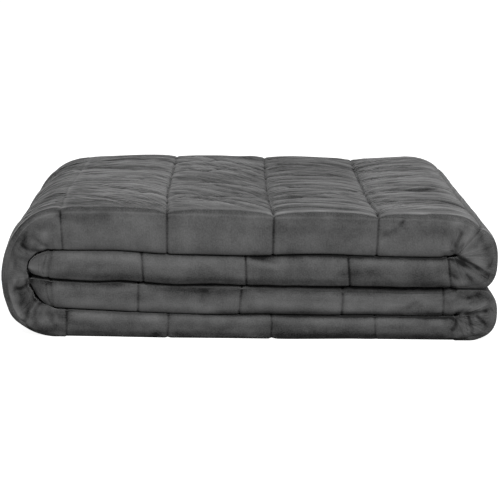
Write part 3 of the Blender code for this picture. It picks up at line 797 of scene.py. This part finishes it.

# Where the front is lighter or darker: brushed nap, painted shade under the gaps, at the foot and
# under the folds, and painted light along the rims; how much, half width, points as x, z
FRONT_NAP_AND_PAINTED_LIGHT = [
    (-0.4, 5, [(-183, 117), (-168, 116), (-140, 118)]),
    (0.3, 14, [(-165, 98), (-95, 102)]),
    (0.2, 12, [(-60, 98), (0, 102)]),
    (-0.15, 4, [(-84, 108), (-83, 98)]),
    (-0.14, 9, [(-12, 108), (30, 104)]),
    (-0.2, 4, [(133, 97), (134, 92)]),
    (0.2, 5, [(208, 88), (220, 84), (232, 76)]),
    (-0.16, 9, [(-204, 103), (-220, 92), (-225, 76)]),
    (-0.12, 8, [(-222, 40), (-210, 20)]),
    (0.2, 2.5, [(217, 108), (213, 98), (210, 92)]),
    (-0.22, 3, [(224, 100), (229, 92)]),
    (-0.2, 6, [(-220, 48), (-222, 34), (-214, 20)]),
    (0.3, 4, [(-236, 50), (-228, 28), (-216, 14)]),
    (-0.2, 4, [(-212, 56), (-208, 42)]),
    (-0.35, 4, [(192, 19), (206, 20)]),
    (-0.38, 6, [(-45, 44), (-43, 36)]),
    (-0.16, 6, [(28, 112), (42, 105)]),
    (-0.3, 5, [(180, 110), (204, 108)]),
    (0.05, 8, [(30, 94), (120, 94)]),
    (0.24, 8, [(135, 91), (188, 91)]),
    (0.12, 7, [(72, 91), (112, 91)]),
    (0.1, 6, [(-55, 88), (25, 88)]),
    (-0.14, 6, [(-10, 68), (20, 66)]),
    (-0.16, 8, [(125, 68), (165, 64)]),
    (0.15, 5, [(-100, 34), (-66, 34)]),
    (0.3, 5, [(-32, 5), (2, 5)]),
    (-0.2, 6, [(22, 8), (64, 6)]),
    (0.25, 5, [(206, 14), (226, 12)]),
    (-0.35, 3.5, [(198, 80), (208, 79)]),
    (-0.16, 7, [(150, 112), (172, 108)]),
    (-0.25, 6, [(-212, 110), (-194, 110)]),
    (0.55, 5, [(-239, 84), (-239, 60), (-235, 42), (-224, 22)]),
    (-0.22, 8, [(-216, 102), (-227, 84), (-227, 60), (-222, 42), (-214, 28)]),
    (0.1, 6, [(-200, 100), (-186, 104)]),
    (-0.6, 6, [(-208, 8), (-184, 8)]),
    (0.2, 4, [(-180, 79), (-110, 77)]),
    (0.45, 5, [(-214, 68), (-200, 62)]),
    (-0.3, 5, [(-180, 62), (-110, 61)]),
    (0.28, 5, [(-104, 72), (-64, 72)]),
    (0.12, 5, [(60, 72), (90, 70)]),
    (-0.28, 6, [(-60, 63), (-20, 61)]),
    (-0.5, 6, [(92, 64), (118, 66)]),
    (-0.26, 6, [(130, 64), (190, 60)]),
    (-0.55, 3, [(-214, 54), (-180, 53), (-120, 51)]),
    (-0.55, 5, [(-95, 50), (-60, 47), (-30, 45), (0, 49)]),
    (-0.5, 4, [(10, 49), (60, 48.5), (190, 48)]),
    (0.32, 6, [(10, 36), (80, 36)]),
    (0.2, 6, [(100, 36), (185, 36)]),
    (0.35, 5, [(-190, 34), (-110, 32), (-40, 31)]),
    (-0.25, 3, [(-206, 36), (-180, 28)]),
    (0.14, 4, [(-170, 20), (-90, 20)]),
    (0.08, 4, [(-70, 19), (10, 20)]),
    (0.12, 4, [(30, 17), (190, 17)]),
    (-0.5, 4.5, [(-176, 3), (-90, 2)]),
    (-0.85, 5, [(-90, 2), (190, 2)]),
    (-0.2, 6, [(-176, 11), (190, 10)]),
    (-0.2, 10, [(206, 16), (230, 22)]),
    (-0.65, 4.5, [(188, 50), (212, 48), (236, 41)]),
    (-0.5, 3.5, [(172, 22), (204, 25)]),
    (-0.6, 2.4, [(-30, 25), (60, 25.5), (190, 25.5)]),
    (-0.3, 4, [(4, 79), (44, 79)]),
    (0.2, 8, [(206, 100), (220, 92)]),
    (-0.35, 5, [(-204, 48), (-196, 51)]),
    (-0.4, 4, [(-150, 57), (-100, 57), (-30, 56), (40, 55), (190, 54)]),
    (-0.4, 5, [(-200, 26), (-178, 22)]),
    (0.65, 5, [(-238, 90), (-228, 106), (-214, 117), (-196, 122)]),
    (0.25, 4, [(238, 100), (241, 80)]),
    (-0.2, 5, [(202, 74), (214, 65), (224, 60)]),
    (-0.14, 5, [(224, 105), (232, 85)]),
]
# The same on the top, with points as x and y: brushed nap, and painted shadow in the dark bands
# beside the seams at x 128 and 26
TOP_NAP_AND_PAINTED_SHADE = [
    (0.2, 16, [(-150, -110), (-110, -130)]),
    (0.3, 34, [(-150, 10), (-100, -60)]),
    (-0.4, 15, [(-176, -216), (-90, -228)]),
    (-0.26, 14, [(-76, -212), (-20, -206)]),
    (-0.3, 16, [(-176, -96), (-130, -110)]),
    (-0.22, 14, [(30, -10), (100, 4)]),
    (0.2, 12, [(140, -110), (214, -120)]),
    (0.22, 10, [(150, -40), (190, -44)]),
    (0.26, 14, [(134, -205), (214, -215)]),
    (0.22, 12, [(30, -170), (70, -175)]),
    (-0.18, 14, [(-74, 20), (-30, -10)]),
    (0.16, 14, [(140, 0), (200, 10)]),
    (0.16, 12, [(-20, -215), (14, -225)]),
    (-0.45, 4.5, [(128, 240), (127, -80), (128, -236)]),
    (-0.3, 4, [(26, 240), (22, -80), (24, -236)]),
]
# Painted shadow on the cloth right under the gap above it: how dark, at some places in x, in layers
# 2 and 4
UNDER_GAP_X = (-200.0, -150.0, -50.0, 20.0, 60.0, 200.0)
UNDER_GAP = {"layer 2": (0.4, 0.4, 0.5, 0.9, 1.1, 1.1), "layer 4": (0.9, 0.6, 0.6, 0.7, 1.0, 1.1)}
UNDER_GAP_REACH = 0.08     # how far that reaches down, in parts of the thickness
# How much darker the top is, at some places in x
TOP_SHADE_X = (-240.0, -205.0, -184.0, -150.0, -82.0, -78.0, 20.0, 24.0, 118.0, 130.0, 200.0, 212.0,
               240.0)
TOP_SHADE = (-0.50, -0.58, -0.28, -0.06, 0.02, -0.08, -0.10, -0.26, -0.22, -0.12, -0.06, 0.36, 0.45)
BACK_RIM, BACK_RIM_Y = 0.38, (150.0, 220.0)  # and the back of the top
LOW_SHADE = 0.10           # low on the outer face: lighter at the left, darker at the right
LOW_SHADE_Z = (82.0, 104.0)
UNDER_SHADE, UNDER_SHADE_Z = 0.45, 38.0  # painted shadow under the notch between the right folds
# How light the painted highlight along the front edge of the top is, at some places in x
EDGE_SHINE_X = (-230.0, -190.0, -175.0, -60.0, -10.0, 20.0, 40.0, 200.0, 235.0)
EDGE_SHINE = (1.60, 1.40, -0.05, 0.05, 0.40, 0.80, 1.0, 1.10, 0.60)
EDGE_SHINE_PLACE, EDGE_SHINE_WIDTH = 3.5, 3.0
# How uneven it is: from this part, by this much, and its waves along the strip and in y
SHINE_LEAST, SHINE_SWING, SHINE_WAVES, SHINE_SEED = 0.75, 0.5, (17.0, 9.0), 9
# Beside the seam at the big fold's top, a painted highlight: the seam, how light, how far before it
# and half width
LEFT_SEAM, LEFT_SEAM_SHINE, LEFT_SEAM_BEFORE, LEFT_SEAM_WIDTH = 9, 0.35, 1.5, 2.2

for patches, belongs, axis in ((FRONT_NAP_AND_PAINTED_LIGHT, front, 2), (TOP_NAP_AND_PAINTED_SHADE, on_outer & top_run, 1)):
    for amount, width, line in patches:
        patch = amount * bell(from_line(points[..., 0], points[..., axis], line)[0], width)
        nap_and_painted_light += np.where(belongs, patch, 0.0)
shine = np.interp(station_x, EDGE_SHINE_X, EDGE_SHINE)[:, None] * visible
uneven = lattice_noise(station[:, None] / SHINE_WAVES[0], y / SHINE_WAVES[1], SHINE_SEED)
shine = shine * (SHINE_LEAST + SHINE_SWING * uneven)
shine = shine * (y < 0) * bell(from_edge - EDGE_SHINE_PLACE, EDGE_SHINE_WIDTH)
beside_seam = station - cross_seams[LEFT_SEAM] + LEFT_SEAM_BEFORE
shine += LEFT_SEAM_SHINE * bell(beside_seam, LEFT_SEAM_WIDTH)[:, None]
top_shade = np.interp(station_x, TOP_SHADE_X, TOP_SHADE)[:, None] - BACK_RIM * eased(y, *BACK_RIM_Y)
low_shade = np.where(station_x < 0, LOW_SHADE, -LOW_SHADE)[:, None]
high = eased(outer_z, *LOW_SHADE_Z)[:, None]
# Painted shade on layer 3's outer face and on the lower right fold's top, which lie under the layer
# and fold above
below = in_runs("layer 3") | (in_runs("lower right") & (outer_z > UNDER_SHADE_Z))
outer_shade = shine + (low_shade + (top_shade - low_shade) * high) * visible
nap_and_painted_light += np.where(on_outer, outer_shade - UNDER_SHADE * below[:, None], 0.0)
# Painted shadow under each gap
for name, amounts in UNDER_GAP.items():
    amount = np.interp(station_x, UNDER_GAP_X, amounts)[:, None] * in_runs(name)[:, None]
    nap_and_painted_light -= np.where(front, amount * bell(row_part, UNDER_GAP_REACH), 0.0)

HIDDEN_RELIEF = 0.3        # no more than this on the inner face
height = np.where(inner_face, height.clip(-HIDDEN_RELIEF, HIDDEN_RELIEF), height)
points += outward(points) * height[..., None]

MIDDLE_SAG = 5.0           # the lines between layers hang down this far half way to the back,
SAG_X = (-208.0, -172.0, 172.0, 205.0)  # fading out between these x


def press_flat(points):
    """Keep the strip above the ground and its two halves on their own sides of their line.

    Then the stack is made thicker or thinner towards the back, evenly with y. Last, all that lies
    between the ground and the top sags: most half way up and half way back, so that no straight
    line of sight runs between two layers.
    """
    x, y, z = points[..., 0], points[..., 1], points[..., 2]
    line = line_height(x, "layers 3 and 2")
    upper, lower = in_runs("layer 2", "upper right"), in_runs("layer 3", "lower right")
    z[upper] = np.maximum(z[upper], line[upper] + LAYER_GAP / 2)
    z[lower] = np.minimum(z[lower], line[lower] - LAYER_GAP / 2)
    np.maximum(z, 0.0, out=z)
    top = line_height(x, "top seams")
    share = (z / top).clip(0.0, 1.0)
    z *= 1.0 + line_height(x, "back rise") / top * (y / DEPTH + 0.5)
    halfway = (1.0 - (2.0 * y / DEPTH) ** 2).clip(min=0.0) ** 2
    sag = MIDDLE_SAG * eased(np.interp(x, SAG_X, (0.0, 1.0, 1.0, 0.0))) * halfway
    z -= sag * 4.0 * share * (1.0 - share)


press_flat(points)

# Fine creases on the front face: how dark the painted shade in each is, half width, and points as x
# and z. They are narrower than the mesh, so the points carry the signed distance to a crease and
# the shader paints the line as shade and bumps it.
FINE_CREASES = [
    (0.65, 1.5, [(-222, 91), (-218, 87), (-213, 84), (-204, 83), (-195, 84.5)]),
    (0.45, 1.6, [(-207, 95), (-201, 90), (-196, 87)]),
    (0.45, 2.6, [(-220, 96), (-217, 94)]),
    (0.3, 3, [(-225, 75), (-218, 75), (-215, 72)]),
    (0.8, 1.3, [(-227, 47), (-221, 47), (-217, 49), (-215, 52)]),
    (0.8, 1.8, [(-206, 38), (-210, 32), (-213, 27), (-216, 22), (-216, 17), (-219, 13)]),
    (0.9, 1.6, [(-201, 34), (-205, 30), (-208, 24), (-208, 20)]),
    (0.45, 2, [(-198, 34), (-201, 27), (-204, 20)]),
    (0.5, 3, [(-214, 57), (-212, 46), (-208, 38)]),
    (0.45, 0.8, [(-196, 82), (-198, 75), (-200, 69), (-201, 64), (-200, 60)]),
    (0.4, 0.8, [(-197, 53), (-197, 47), (-196, 40), (-194, 34), (-192, 31)]),
    (0.8, 1.6, [(206, 108), (203, 101), (200, 95), (199, 91)]),
    (0.7, 1.3, [(208, 96), (205, 92), (204, 89)]),
    (1.0, 2, [(194, 86), (200, 86), (204, 89)]),
    (1.0, 1.6, [(201, 84), (205, 81), (211, 78), (219, 73), (227, 68), (232, 65), (235, 66)]),
    (0.5, 1.8, [(197, 82), (200, 80), (208, 75), (216, 71)]),
    (0.6, 1.8, [(210, 66), (214, 62), (217, 59)]),
    (0.6, 1.4, [(195, 66), (199, 63), (202, 60)]),
    (0.6, 1.6, [(239, 80), (234, 75), (231, 72)]),
    (0.35, 3, [(232, 83), (227, 76)]),
    (0.3, 2.5, [(226, 106), (223, 102)]),
    (0.95, 1.6, [(201, 24), (202, 18), (201, 13), (196, 9)]),
    (0.9, 1.4, [(213, 26), (215, 20), (217, 13), (218, 9), (217, 5)]),
    (0.95, 1.5, [(221, 26), (224, 22), (228, 19), (232, 15)]),
    (0.8, 1.3, [(235, 32), (239, 30)]),
    (0.5, 1.3, [(232, 38), (236, 36)]),
    (1.0, 1.5, [(209, 26), (219, 27), (228, 29), (233, 30)]),
    (0.3, 2, [(202, 45), (209, 41), (216, 41), (223, 38)]),
    (0.6, 1.5, [(151, 119), (147, 115), (144, 111)]),
    (0.35, 2.6, [(142, 109), (136, 105), (129, 101)]),
    (0.3, 2, [(147, 28), (157, 32), (162, 36), (169, 40)]),
    (0.3, 1.6, [(171, 38), (164, 30)]),
    (0.45, 2, [(-1, 79), (6, 79), (13, 77), (20, 75)]),
    (0.8, 3.5, [(195, 54), (199, 51)]),
]
CREASE_REACH = 10.0        # how far from a crease its distance is kept,
FOLD_REACH, FOLD_REACH_X = 5.5, 185.0  # and in a fold, past this x
CREASE_FADE = (0.6, 1.0)   # parts of that reach between which it fades
CREASE_END = (-1.2, 2.8)   # a crease thins out from inside its end to past it
NO_CREASE = 9.0            # distance that stands for none, in half widths

# Up to three creases may pass near a point; past that, a crease takes the last one's place
crease_distance = np.full(points.shape, NO_CREASE)
crease_strength = np.zeros(points.shape)
reach = np.where(np.abs(points[..., 0]) > FOLD_REACH_X, FOLD_REACH, CREASE_REACH)
for strength, half_width, line in FINE_CREASES:
    signed, left = from_line(points[..., 0], points[..., 2], line)[1:]
    near = front & (np.abs(signed) < reach) & (left > -reach)
    free = [not crease_strength[near, field].any() for field in range(3)]
    field = free.index(True) if True in free else 2
    fade = (1.0 - eased(np.abs(signed) / reach, *CREASE_FADE)) * eased(left, *CREASE_END)
    crease_distance[near, field] = (signed / half_width)[near]
    crease_strength[near, field] = (strength * fade)[near]

# ---- mesh ----

STREAK_EASE = 12.0         # the wrinkles of a fold's front come in over this length
SHADE_WIDTH = 0.9          # half width of the dark line at a seam, its stitching with painted shade in its groove,
CROSS_SHADE_WIDTH = 1.5    # at a cross seam on the outer face,
LONG_SHADE_WIDTH = 1.8     # and at a seam along the strip away from the edges
MIDDLE_SEAM_SHADE, MIDDLE_SEAM_REACH = 0.7, 30.0
# How plain the fine wrinkles are on the outer face, at some places in x, and at its front edge
STREAKS_X, STREAKS = (-84.0, -78.0, 120.0, 128.0), (1.8, 1.0, 1.0, 1.6)
EDGE_STREAKS, EDGE_STREAKS_REACH = 0.35, 20.0
ROUND_STREAKS = 0.6        # part of them that goes where a fold turns down
SEAM_STREAKS = 0.15        # on a fold's front they start below this part of the thickness
# The wrinkles' height is painted as shade in their troughs and light on their ridges: mm for a full
# step, and its range
RELIEF_SCALE, RELIEF_RANGE = 1.6, (-0.75, 1.0)

row_number = np.arange(len(row_face))
kept_outer = (row_number % HIDDEN_ROWS_KEPT == 0) | (row_square == np.round(row_square))
hidden_rows = np.flatnonzero(front | inner_face | ((row_face == BACK) & (row_number % 2 == 0))
                             | (on_outer & kept_outer))
dense = visible[:, 0]


def corner_grid(stations, rows):
    """Quads between neighbouring stations: their corners as station numbers and row numbers."""
    following = np.append(rows[1:], rows[0] + len(row_face))
    row_corner = np.stack([rows, following, following, rows], axis=-1)[None]
    station_corner = stations[:, None, None] + np.array([0, 0, 1, 1])
    return [corner.reshape(-1, 4) for corner in np.broadcast_arrays(station_corner, row_corner)]


def stitched_faces(fine, coarse):
    """Faces between a station with all rows and one with few: each spans from row to kept row."""
    faces = []
    following = np.append(hidden_rows[1:], hidden_rows[0] + len(row_face))
    for first, last in zip(hidden_rows, following):
        corners = [(fine, row) for row in range(first, last + 1)]
        corners += [(coarse, last), (coarse, first)]
        faces.append(corners if fine < coarse else corners[::-1])
    return faces


pairs = np.arange(len(station) - 1)
both_dense = dense[:-1] & dense[1:]
both_sparse = ~dense[:-1] & ~dense[1:]
quads = [corner_grid(pairs[both_dense], row_number), corner_grid(pairs[both_sparse], hidden_rows)]
quad_stations, quad_rows = (np.concatenate(corners) for corners in zip(*quads))
odd_faces = []
for pair in pairs[~both_dense & ~both_sparse]:
    odd_faces += stitched_faces(*((pair, pair + 1) if dense[pair] else (pair + 1, pair)))
odd_faces.append([(0, row) for row in hidden_rows[::-1]])
odd_faces.append([(len(station) - 1, row) for row in hidden_rows])

used = np.zeros(y.shape, bool)
used[dense] = True
used[np.ix_(~dense, hidden_rows)] = True
number = np.cumsum(used.ravel()).reshape(used.shape) - 1
faces = number[quad_stations, quad_rows % len(row_face)].tolist()
faces += [[number[column, row % len(row_face)] for column, row in face] for face in odd_faces]
corner_station = np.concatenate([quad_stations.ravel(), [c for face in odd_faces for c, r in face]])
corner_row = np.concatenate([quad_rows.ravel(), [r for face in odd_faces for c, r in face]])

mesh = bpy.data.meshes.new("weighted_blanket")
mesh.from_pydata(points[used] * MM, [], faces)
cloth_place = np.column_stack([station[corner_station], full_around[corner_row]]) * MM
mesh.uv_layers.new(name="cloth").data.foreach_set("uv", cloth_place.ravel())

# What the shader reads at each point: how dark a seam is, with painted shade in its groove, the
# wrinkles' height for their painted light and shade, the nap's shade with painted light and shade,
# how plain the fine wrinkles are and which way they flow, and the three nearest creases
outer_shade = np.where(nearest_seam[:, None] == MIDDLE_FOLD_SEAM,
                       MIDDLE_SEAM_SHADE * eased(from_edge / MIDDLE_SEAM_REACH), 1.0 - cross_fill)
cross_shade = bell(seam_distance, np.where(shown_outer, CROSS_SHADE_WIDTH, SHADE_WIDTH))
cross_shade = cross_shade * ~inner_face * np.where(on_outer, outer_shade, front_strength)
edge_shade = (seam_shown * run_values("edge shade")[station_run])[:, None]
long_shade = (bell(long_seam_distance, np.where(at_edge, SHADE_WIDTH, LONG_SHADE_WIDTH))
              * np.where(at_edge, edge_shade, 1.0))
near_edge = EDGE_STREAKS + (1.0 - EDGE_STREAKS) * eased(from_edge / EDGE_STREAKS_REACH)
drawn = np.interp(station_x, STREAKS_X, STREAKS)[:, None] * visible * near_edge
drawn = drawn * (1.0 - ROUND_STREAKS * round_fold) * on_outer
fold_streaks = smoothed(run_values("streaks")[path_run], STREAK_EASE, 7)[:, None]
drawn = np.where(front, fold_streaks * eased((1.0 - row_part) / SEAM_STREAKS), drawn)
along_strip = np.broadcast_to(station[:, None], y.shape)
turned_y = y - drift(station_x[:, None], y) * on_top[:, None]
around_strip = np.broadcast_to(around, y.shape)
flow = np.where(front[:, None], np.stack([around_strip, along_strip, 0 * y], axis=-1),
                np.stack([along_strip, turned_y, 0 * y], axis=-1))
for name, values in (("seam", np.maximum(cross_shade, long_shade)), ("nap", nap_and_painted_light),
                     ("relief", (relief / RELIEF_SCALE).clip(*RELIEF_RANGE)), ("drawn", drawn),
                     ("flow", flow * MM), ("crease_distance", crease_distance),
                     ("crease_strength", crease_strength)):
    kind, key = ("FLOAT", "value") if values.ndim == 2 else ("FLOAT_VECTOR", "vector")
    mesh.attributes.new(name, kind, "POINT").data.foreach_set(key, values[used].ravel())
mesh.shade_smooth()
mesh.validate()
blanket = add_object("weighted_blanket", mesh)

# ---- plush ----

PLUSH_COLOUR = (0.0928, 0.0928, 0.0930, 1.0)
PLUSH = {"Roughness": 0.9, "Specular IOR Level": 0.15, "Sheen Weight": 0.25,
         "Sheen Roughness": 0.45, "Sheen Tint": (0.76, 0.76, 0.76, 1.0)}
PATCHES, TUFTS = 0.30, 0.16  # how plain the pile's patches and tufts are
# How strong the painted shade is at a seam, where its stitching is dark too, and in a fine crease,
# and the painted light and shade of the wrinkles by their height and by their streaks
SEAM_SHADE, CREASE_SHADE, PAINTED_RELIEF_SHADE, WRINKLE_SHADE = -0.8, -0.55, 0.80, 0.17
DARKEST = 0.1
# Seen flat on and at a low angle: the grain's strength, the wrinkles' painted shade, and the whole
# shade, brighter at a low angle as a painted sheen
TURNED_AWAY = (0.35, 0.85)  # facing at which the first two change
GRAIN, WRINKLES, PAINTED_SHEEN = (0.14, 0.36), (0.3, 1.0), (0.94, 1.15)
# Noises: scale along and around the strip, detail and roughness. The ranges become -1 to 1.
PATCH_NOISE, PATCH_RANGE = ((34.0, 42.0), 5.0, 0.72), (0.3, 0.7)
STREAK_NOISE = ((620.0, 60.0), 2.0, 0.6)
TUFT_NOISE, TUFT_RANGE = ((700.0, 700.0), 2.0, 0.7), (0.35, 0.65)
BROAD_WRINKLES, FINE_WRINKLES = ((9.0, 48.0), 3.0, 0.6), ((26.0, 170.0), 2.0, 0.6)
WRINKLE_RANGE, BROAD_HEIGHT = (0.7, 1.3), 0.8


def node(tree, kind, inputs=(), **settings):
    """A node with some settings and inputs: a number or a colour is set, a socket is linked."""
    made = tree.nodes.new(kind)
    for name, value in settings.items():
        setattr(made, name, value)
    for name, value in dict(inputs).items():
        if isinstance(value, bpy.types.NodeSocket):
            tree.links.new(value, made.inputs[name])
        else:
            made.inputs[name].default_value = value
    return made


def maths(tree, operation, first, *others):
    """The result of a maths operation on two values, or carried on over more."""
    for other in others:
        first = node(tree, "ShaderNodeMath", {0: first, 1: other}, operation=operation).outputs[0]
    return first


def mapped(tree, value, old, new, **settings):
    """A value mapped evenly from one range to another, and held at its ends."""
    return node(tree, "ShaderNodeMapRange",
                {"Value": value, "From Min": old[0], "From Max": old[1], "To Min": new[0],
                 "To Max": new[1]}, **settings).outputs[0]


def noise_of(tree, vector, scale, detail, roughness):
    """Noise of the vector times scale (x, y, 1), from 0 to 1."""
    placed = node(tree, "ShaderNodeMapping", {"Vector": vector, "Scale": (*scale, 1.0)})
    return node(tree, "ShaderNodeTexNoise", {"Vector": placed.outputs[0], "Scale": 1.0,
                                             "Detail": detail, "Roughness": roughness}).outputs[0]


def new_group(name, inputs, outputs):
    """A shader node group with these sockets, its inputs' sockets and its output node."""
    group = bpy.data.node_groups.new(name, "ShaderNodeTree")
    for way, sockets in (("INPUT", inputs), ("OUTPUT", outputs)):
        for socket, kind in sockets.items():
            group.interface.new_socket(socket, in_out=way, socket_type="NodeSocket" + kind)
    return group, group.nodes.new("NodeGroupInput").outputs, group.nodes.new("NodeGroupOutput")


def nap_group():
    """Pile of short plush: brushed patches, streaks across the strip and single tufts.

    Shade is 1 on average and follows all three. Height is the tufts' and streaks'.
    """
    group, given, end = new_group(
        "nap", {"Cloth": "Vector", "Patches": "Float", "Streaks": "Float", "Tufts": "Float"},
        {"Shade": "Float", "Height": "Float"})
    patches, streaks, tufts = (noise_of(group, given["Cloth"], *noise)
                               for noise in (PATCH_NOISE, STREAK_NOISE, TUFT_NOISE))
    patch = mapped(group, patches, PATCH_RANGE, (-1.0, 1.0))
    streak = maths(group, "ADD", streaks, -0.5)
    tuft = mapped(group, tufts, TUFT_RANGE, (-1.0, 1.0))
    shade = maths(group, "ADD", maths(group, "MULTIPLY", patch, given["Patches"]),
                  maths(group, "MULTIPLY", streak, given["Streaks"]),
                  maths(group, "MULTIPLY", tuft, given["Tufts"]), 1.0)
    group.links.new(shade, end.inputs["Shade"])
    group.links.new(maths(group, "ADD", tufts, streaks), end.inputs["Height"])
    return group


def drawn_group():
    """Fine wrinkles along the flow of the cloth: shade, their painted light and shade, is 0 on
    average; height is never below 0.
    """
    group, given, end = new_group("drawn", {"Flow": "Vector"},
                                  {"Shade": "Float", "Height": "Float"})
    broad = noise_of(group, given["Flow"], *BROAD_WRINKLES)
    fine = noise_of(group, given["Flow"], *FINE_WRINKLES)
    both = maths(group, "ADD", broad, fine)
    group.links.new(mapped(group, both, WRINKLE_RANGE, (-1.0, 1.0)), end.inputs["Shade"])
    group.links.new(maths(group, "ADD", maths(group, "MULTIPLY", broad, BROAD_HEIGHT), fine),
                    end.inputs["Height"])
    return group


def crease_group():
    """Darkest of three creases: a smooth bell of each signed distance, times its strength."""
    group, given, end = new_group("crease", {"Distances": "Vector", "Strengths": "Vector"},
                                  {"Crease": "Float"})
    distances = node(group, "ShaderNodeVectorMath", {0: given["Distances"]}, operation="ABSOLUTE")
    distances = node(group, "ShaderNodeSeparateXYZ", {0: distances.outputs[0]}).outputs
    strengths = node(group, "ShaderNodeSeparateXYZ", {0: given["Strengths"]}).outputs
    creases = [maths(group, "MULTIPLY",
                     mapped(group, distances[axis], (0.0, 2.0), (1.0, 0.0),
                            interpolation_type="SMOOTHSTEP"), strengths[axis]) for axis in "XYZ"]
    group.links.new(maths(group, "MAXIMUM", *creases), end.inputs["Crease"])
    return group


def carried(tree, name, output="Fac"):
    """A value that the mesh's points carry."""
    return node(tree, "ShaderNodeAttribute", attribute_name=name).outputs[output]


plush = bpy.data.materials.new("dark_grey_plush")
plush.use_nodes = True
tree = plush.node_tree
shader = tree.nodes["Principled BSDF"]
for socket, value in PLUSH.items():
    shader.inputs[socket].default_value = value
facing = node(tree, "ShaderNodeLayerWeight", {"Blend": 0.5}).outputs["Facing"]
pile = node(tree, "ShaderNodeGroup", node_tree=nap_group())
creased = node(tree, "ShaderNodeGroup", node_tree=crease_group())
wrinkles = node(tree, "ShaderNodeGroup", node_tree=drawn_group())
pile.inputs["Patches"].default_value = PATCHES
pile.inputs["Tufts"].default_value = TUFTS
for source, made, socket in (
        (node(tree, "ShaderNodeUVMap", uv_map="cloth").outputs[0], pile, "Cloth"),
        (mapped(tree, facing, TURNED_AWAY, GRAIN), pile, "Streaks"),
        (carried(tree, "crease_distance", "Vector"), creased, "Distances"),
        (carried(tree, "crease_strength", "Vector"), creased, "Strengths"),
        (carried(tree, "flow", "Vector"), wrinkles, "Flow")):
    tree.links.new(source, made.inputs[socket])
creased = creased.outputs[0]
drawn_in = carried(tree, "drawn")
# Painted light and shade of the fine wrinkles
streaks = maths(tree, "MULTIPLY", wrinkles.outputs["Shade"], drawn_in, WRINKLE_SHADE)
# Painted shade in the wrinkles' troughs and painted light on their ridges, from their height
painted_relief_shade = maths(tree, "MULTIPLY", carried(tree, "relief"), PAINTED_RELIEF_SHADE)
wrinkle_shade = maths(tree, "MULTIPLY", maths(tree, "ADD", painted_relief_shade, streaks),
                      mapped(tree, facing, TURNED_AWAY, WRINKLES))
# The colour's shade: the seams' dark line with painted shade, the pile, the wrinkles' painted light
# and shade, the nap with painted light and shade, and painted shade in the fine creases
shade = maths(tree, "ADD", maths(tree, "MULTIPLY", carried(tree, "seam"), SEAM_SHADE),
              pile.outputs["Shade"], wrinkle_shade, carried(tree, "nap"),
              maths(tree, "MULTIPLY", creased, CREASE_SHADE))
# The colour grows brighter where the cloth is seen at a low angle: a painted sheen
shade = maths(tree, "MULTIPLY", maths(tree, "MAXIMUM", shade, DARKEST),
              mapped(tree, facing, (0.0, 1.0), PAINTED_SHEEN))
colour = node(tree, "ShaderNodeMix", {0: 1.0, 6: PLUSH_COLOUR, 7: shade}, data_type="RGBA",
              blend_type="MULTIPLY")
tree.links.new(colour.outputs[2], shader.inputs["Base Color"])
# Bumps from the creases over the wrinkles to the pile: height, strength and size in metres
normal = node(tree, "ShaderNodeBump", {"Height": creased, "Strength": 0.8, "Distance": 0.0014},
              invert=True).outputs[0]
for bump, strength, size in ((maths(tree, "MULTIPLY", wrinkles.outputs["Height"], drawn_in),
                              1.0, 0.003), (pile.outputs["Height"], 0.35, 0.0006)):
    normal = node(tree, "ShaderNodeBump", {"Height": bump, "Strength": strength, "Distance": size,
                                           "Normal": normal}).outputs[0]
tree.links.new(normal, shader.inputs["Normal"])
mesh.materials.append(plush)

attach(blanket, "root")
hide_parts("blanket")

# ==========================================================
# Floor and light
# A plain pale studio floor and soft light from above and in front. The camera sees the floor and
# the studio as white, while what they throw back on to the blanket is dim.
# ==========================================================

HALF_FLOOR = 12.0          # metres
FLOOR_GLOW = 0.93
FLOOR_BOUNCE = 0.07
STUDIO_LIGHT = 0.32
# Lights: place and size in metres, power in watts
LIGHTS = {"key": ((0.5, -3.1, 2.0), 1.4, 118.0), "top": ((-0.6, 0.5, 3.0), 2.0, 22.0)}

floor_mesh = bpy.data.meshes.new("floor")
floor_mesh.from_pydata([(HALF_FLOOR * x, HALF_FLOOR * y, 0.0)
                        for x, y in ((-1, -1), (1, -1), (1, 1), (-1, 1))], [], [(0, 1, 2, 3)])
floor = add_object("floor", floor_mesh)
pale = bpy.data.materials.new("pale_floor")
pale.use_nodes = True
tree = pale.node_tree
seen = tree.nodes["Principled BSDF"]
for socket, value in {"Base Color": (0.5, 0.5, 0.5, 1.0), "Roughness": 0.9,
                      "Emission Color": (1.0, 1.0, 1.0, 1.0),
                      "Emission Strength": FLOOR_GLOW}.items():
    seen.inputs[socket].default_value = value
bounced = node(tree, "ShaderNodeBsdfDiffuse", {"Color": (*[FLOOR_BOUNCE] * 3, 1.0)})
choose = node(tree, "ShaderNodeMixShader",
              {0: node(tree, "ShaderNodeLightPath").outputs["Is Camera Ray"],
               1: bounced.outputs[0], 2: seen.outputs[0]})
tree.links.new(choose.outputs[0], tree.nodes["Material Output"].inputs["Surface"])
floor_mesh.materials.append(pale)

world = bpy.data.worlds.new("studio")
world.use_nodes = True
tree = world.node_tree
strength = mapped(tree, node(tree, "ShaderNodeLightPath").outputs["Is Camera Ray"], (0.0, 1.0),
                  (STUDIO_LIGHT, 1.0))
tree.nodes["Background"].inputs["Color"].default_value = (1.0, 1.0, 1.0, 1.0)
tree.links.new(strength, tree.nodes["Background"].inputs["Strength"])
bpy.context.scene.world = world
bpy.context.scene.view_settings.view_transform = "Standard"

for name, (light_place, size, power) in LIGHTS.items():
    light = add_object(name, bpy.data.lights.new(name, "AREA"))
    light.data.size = size
    light.data.energy = power
    light.location = light_place
    light.rotation_euler = (-light.location).to_track_quat("-Z", "Y").to_euler()
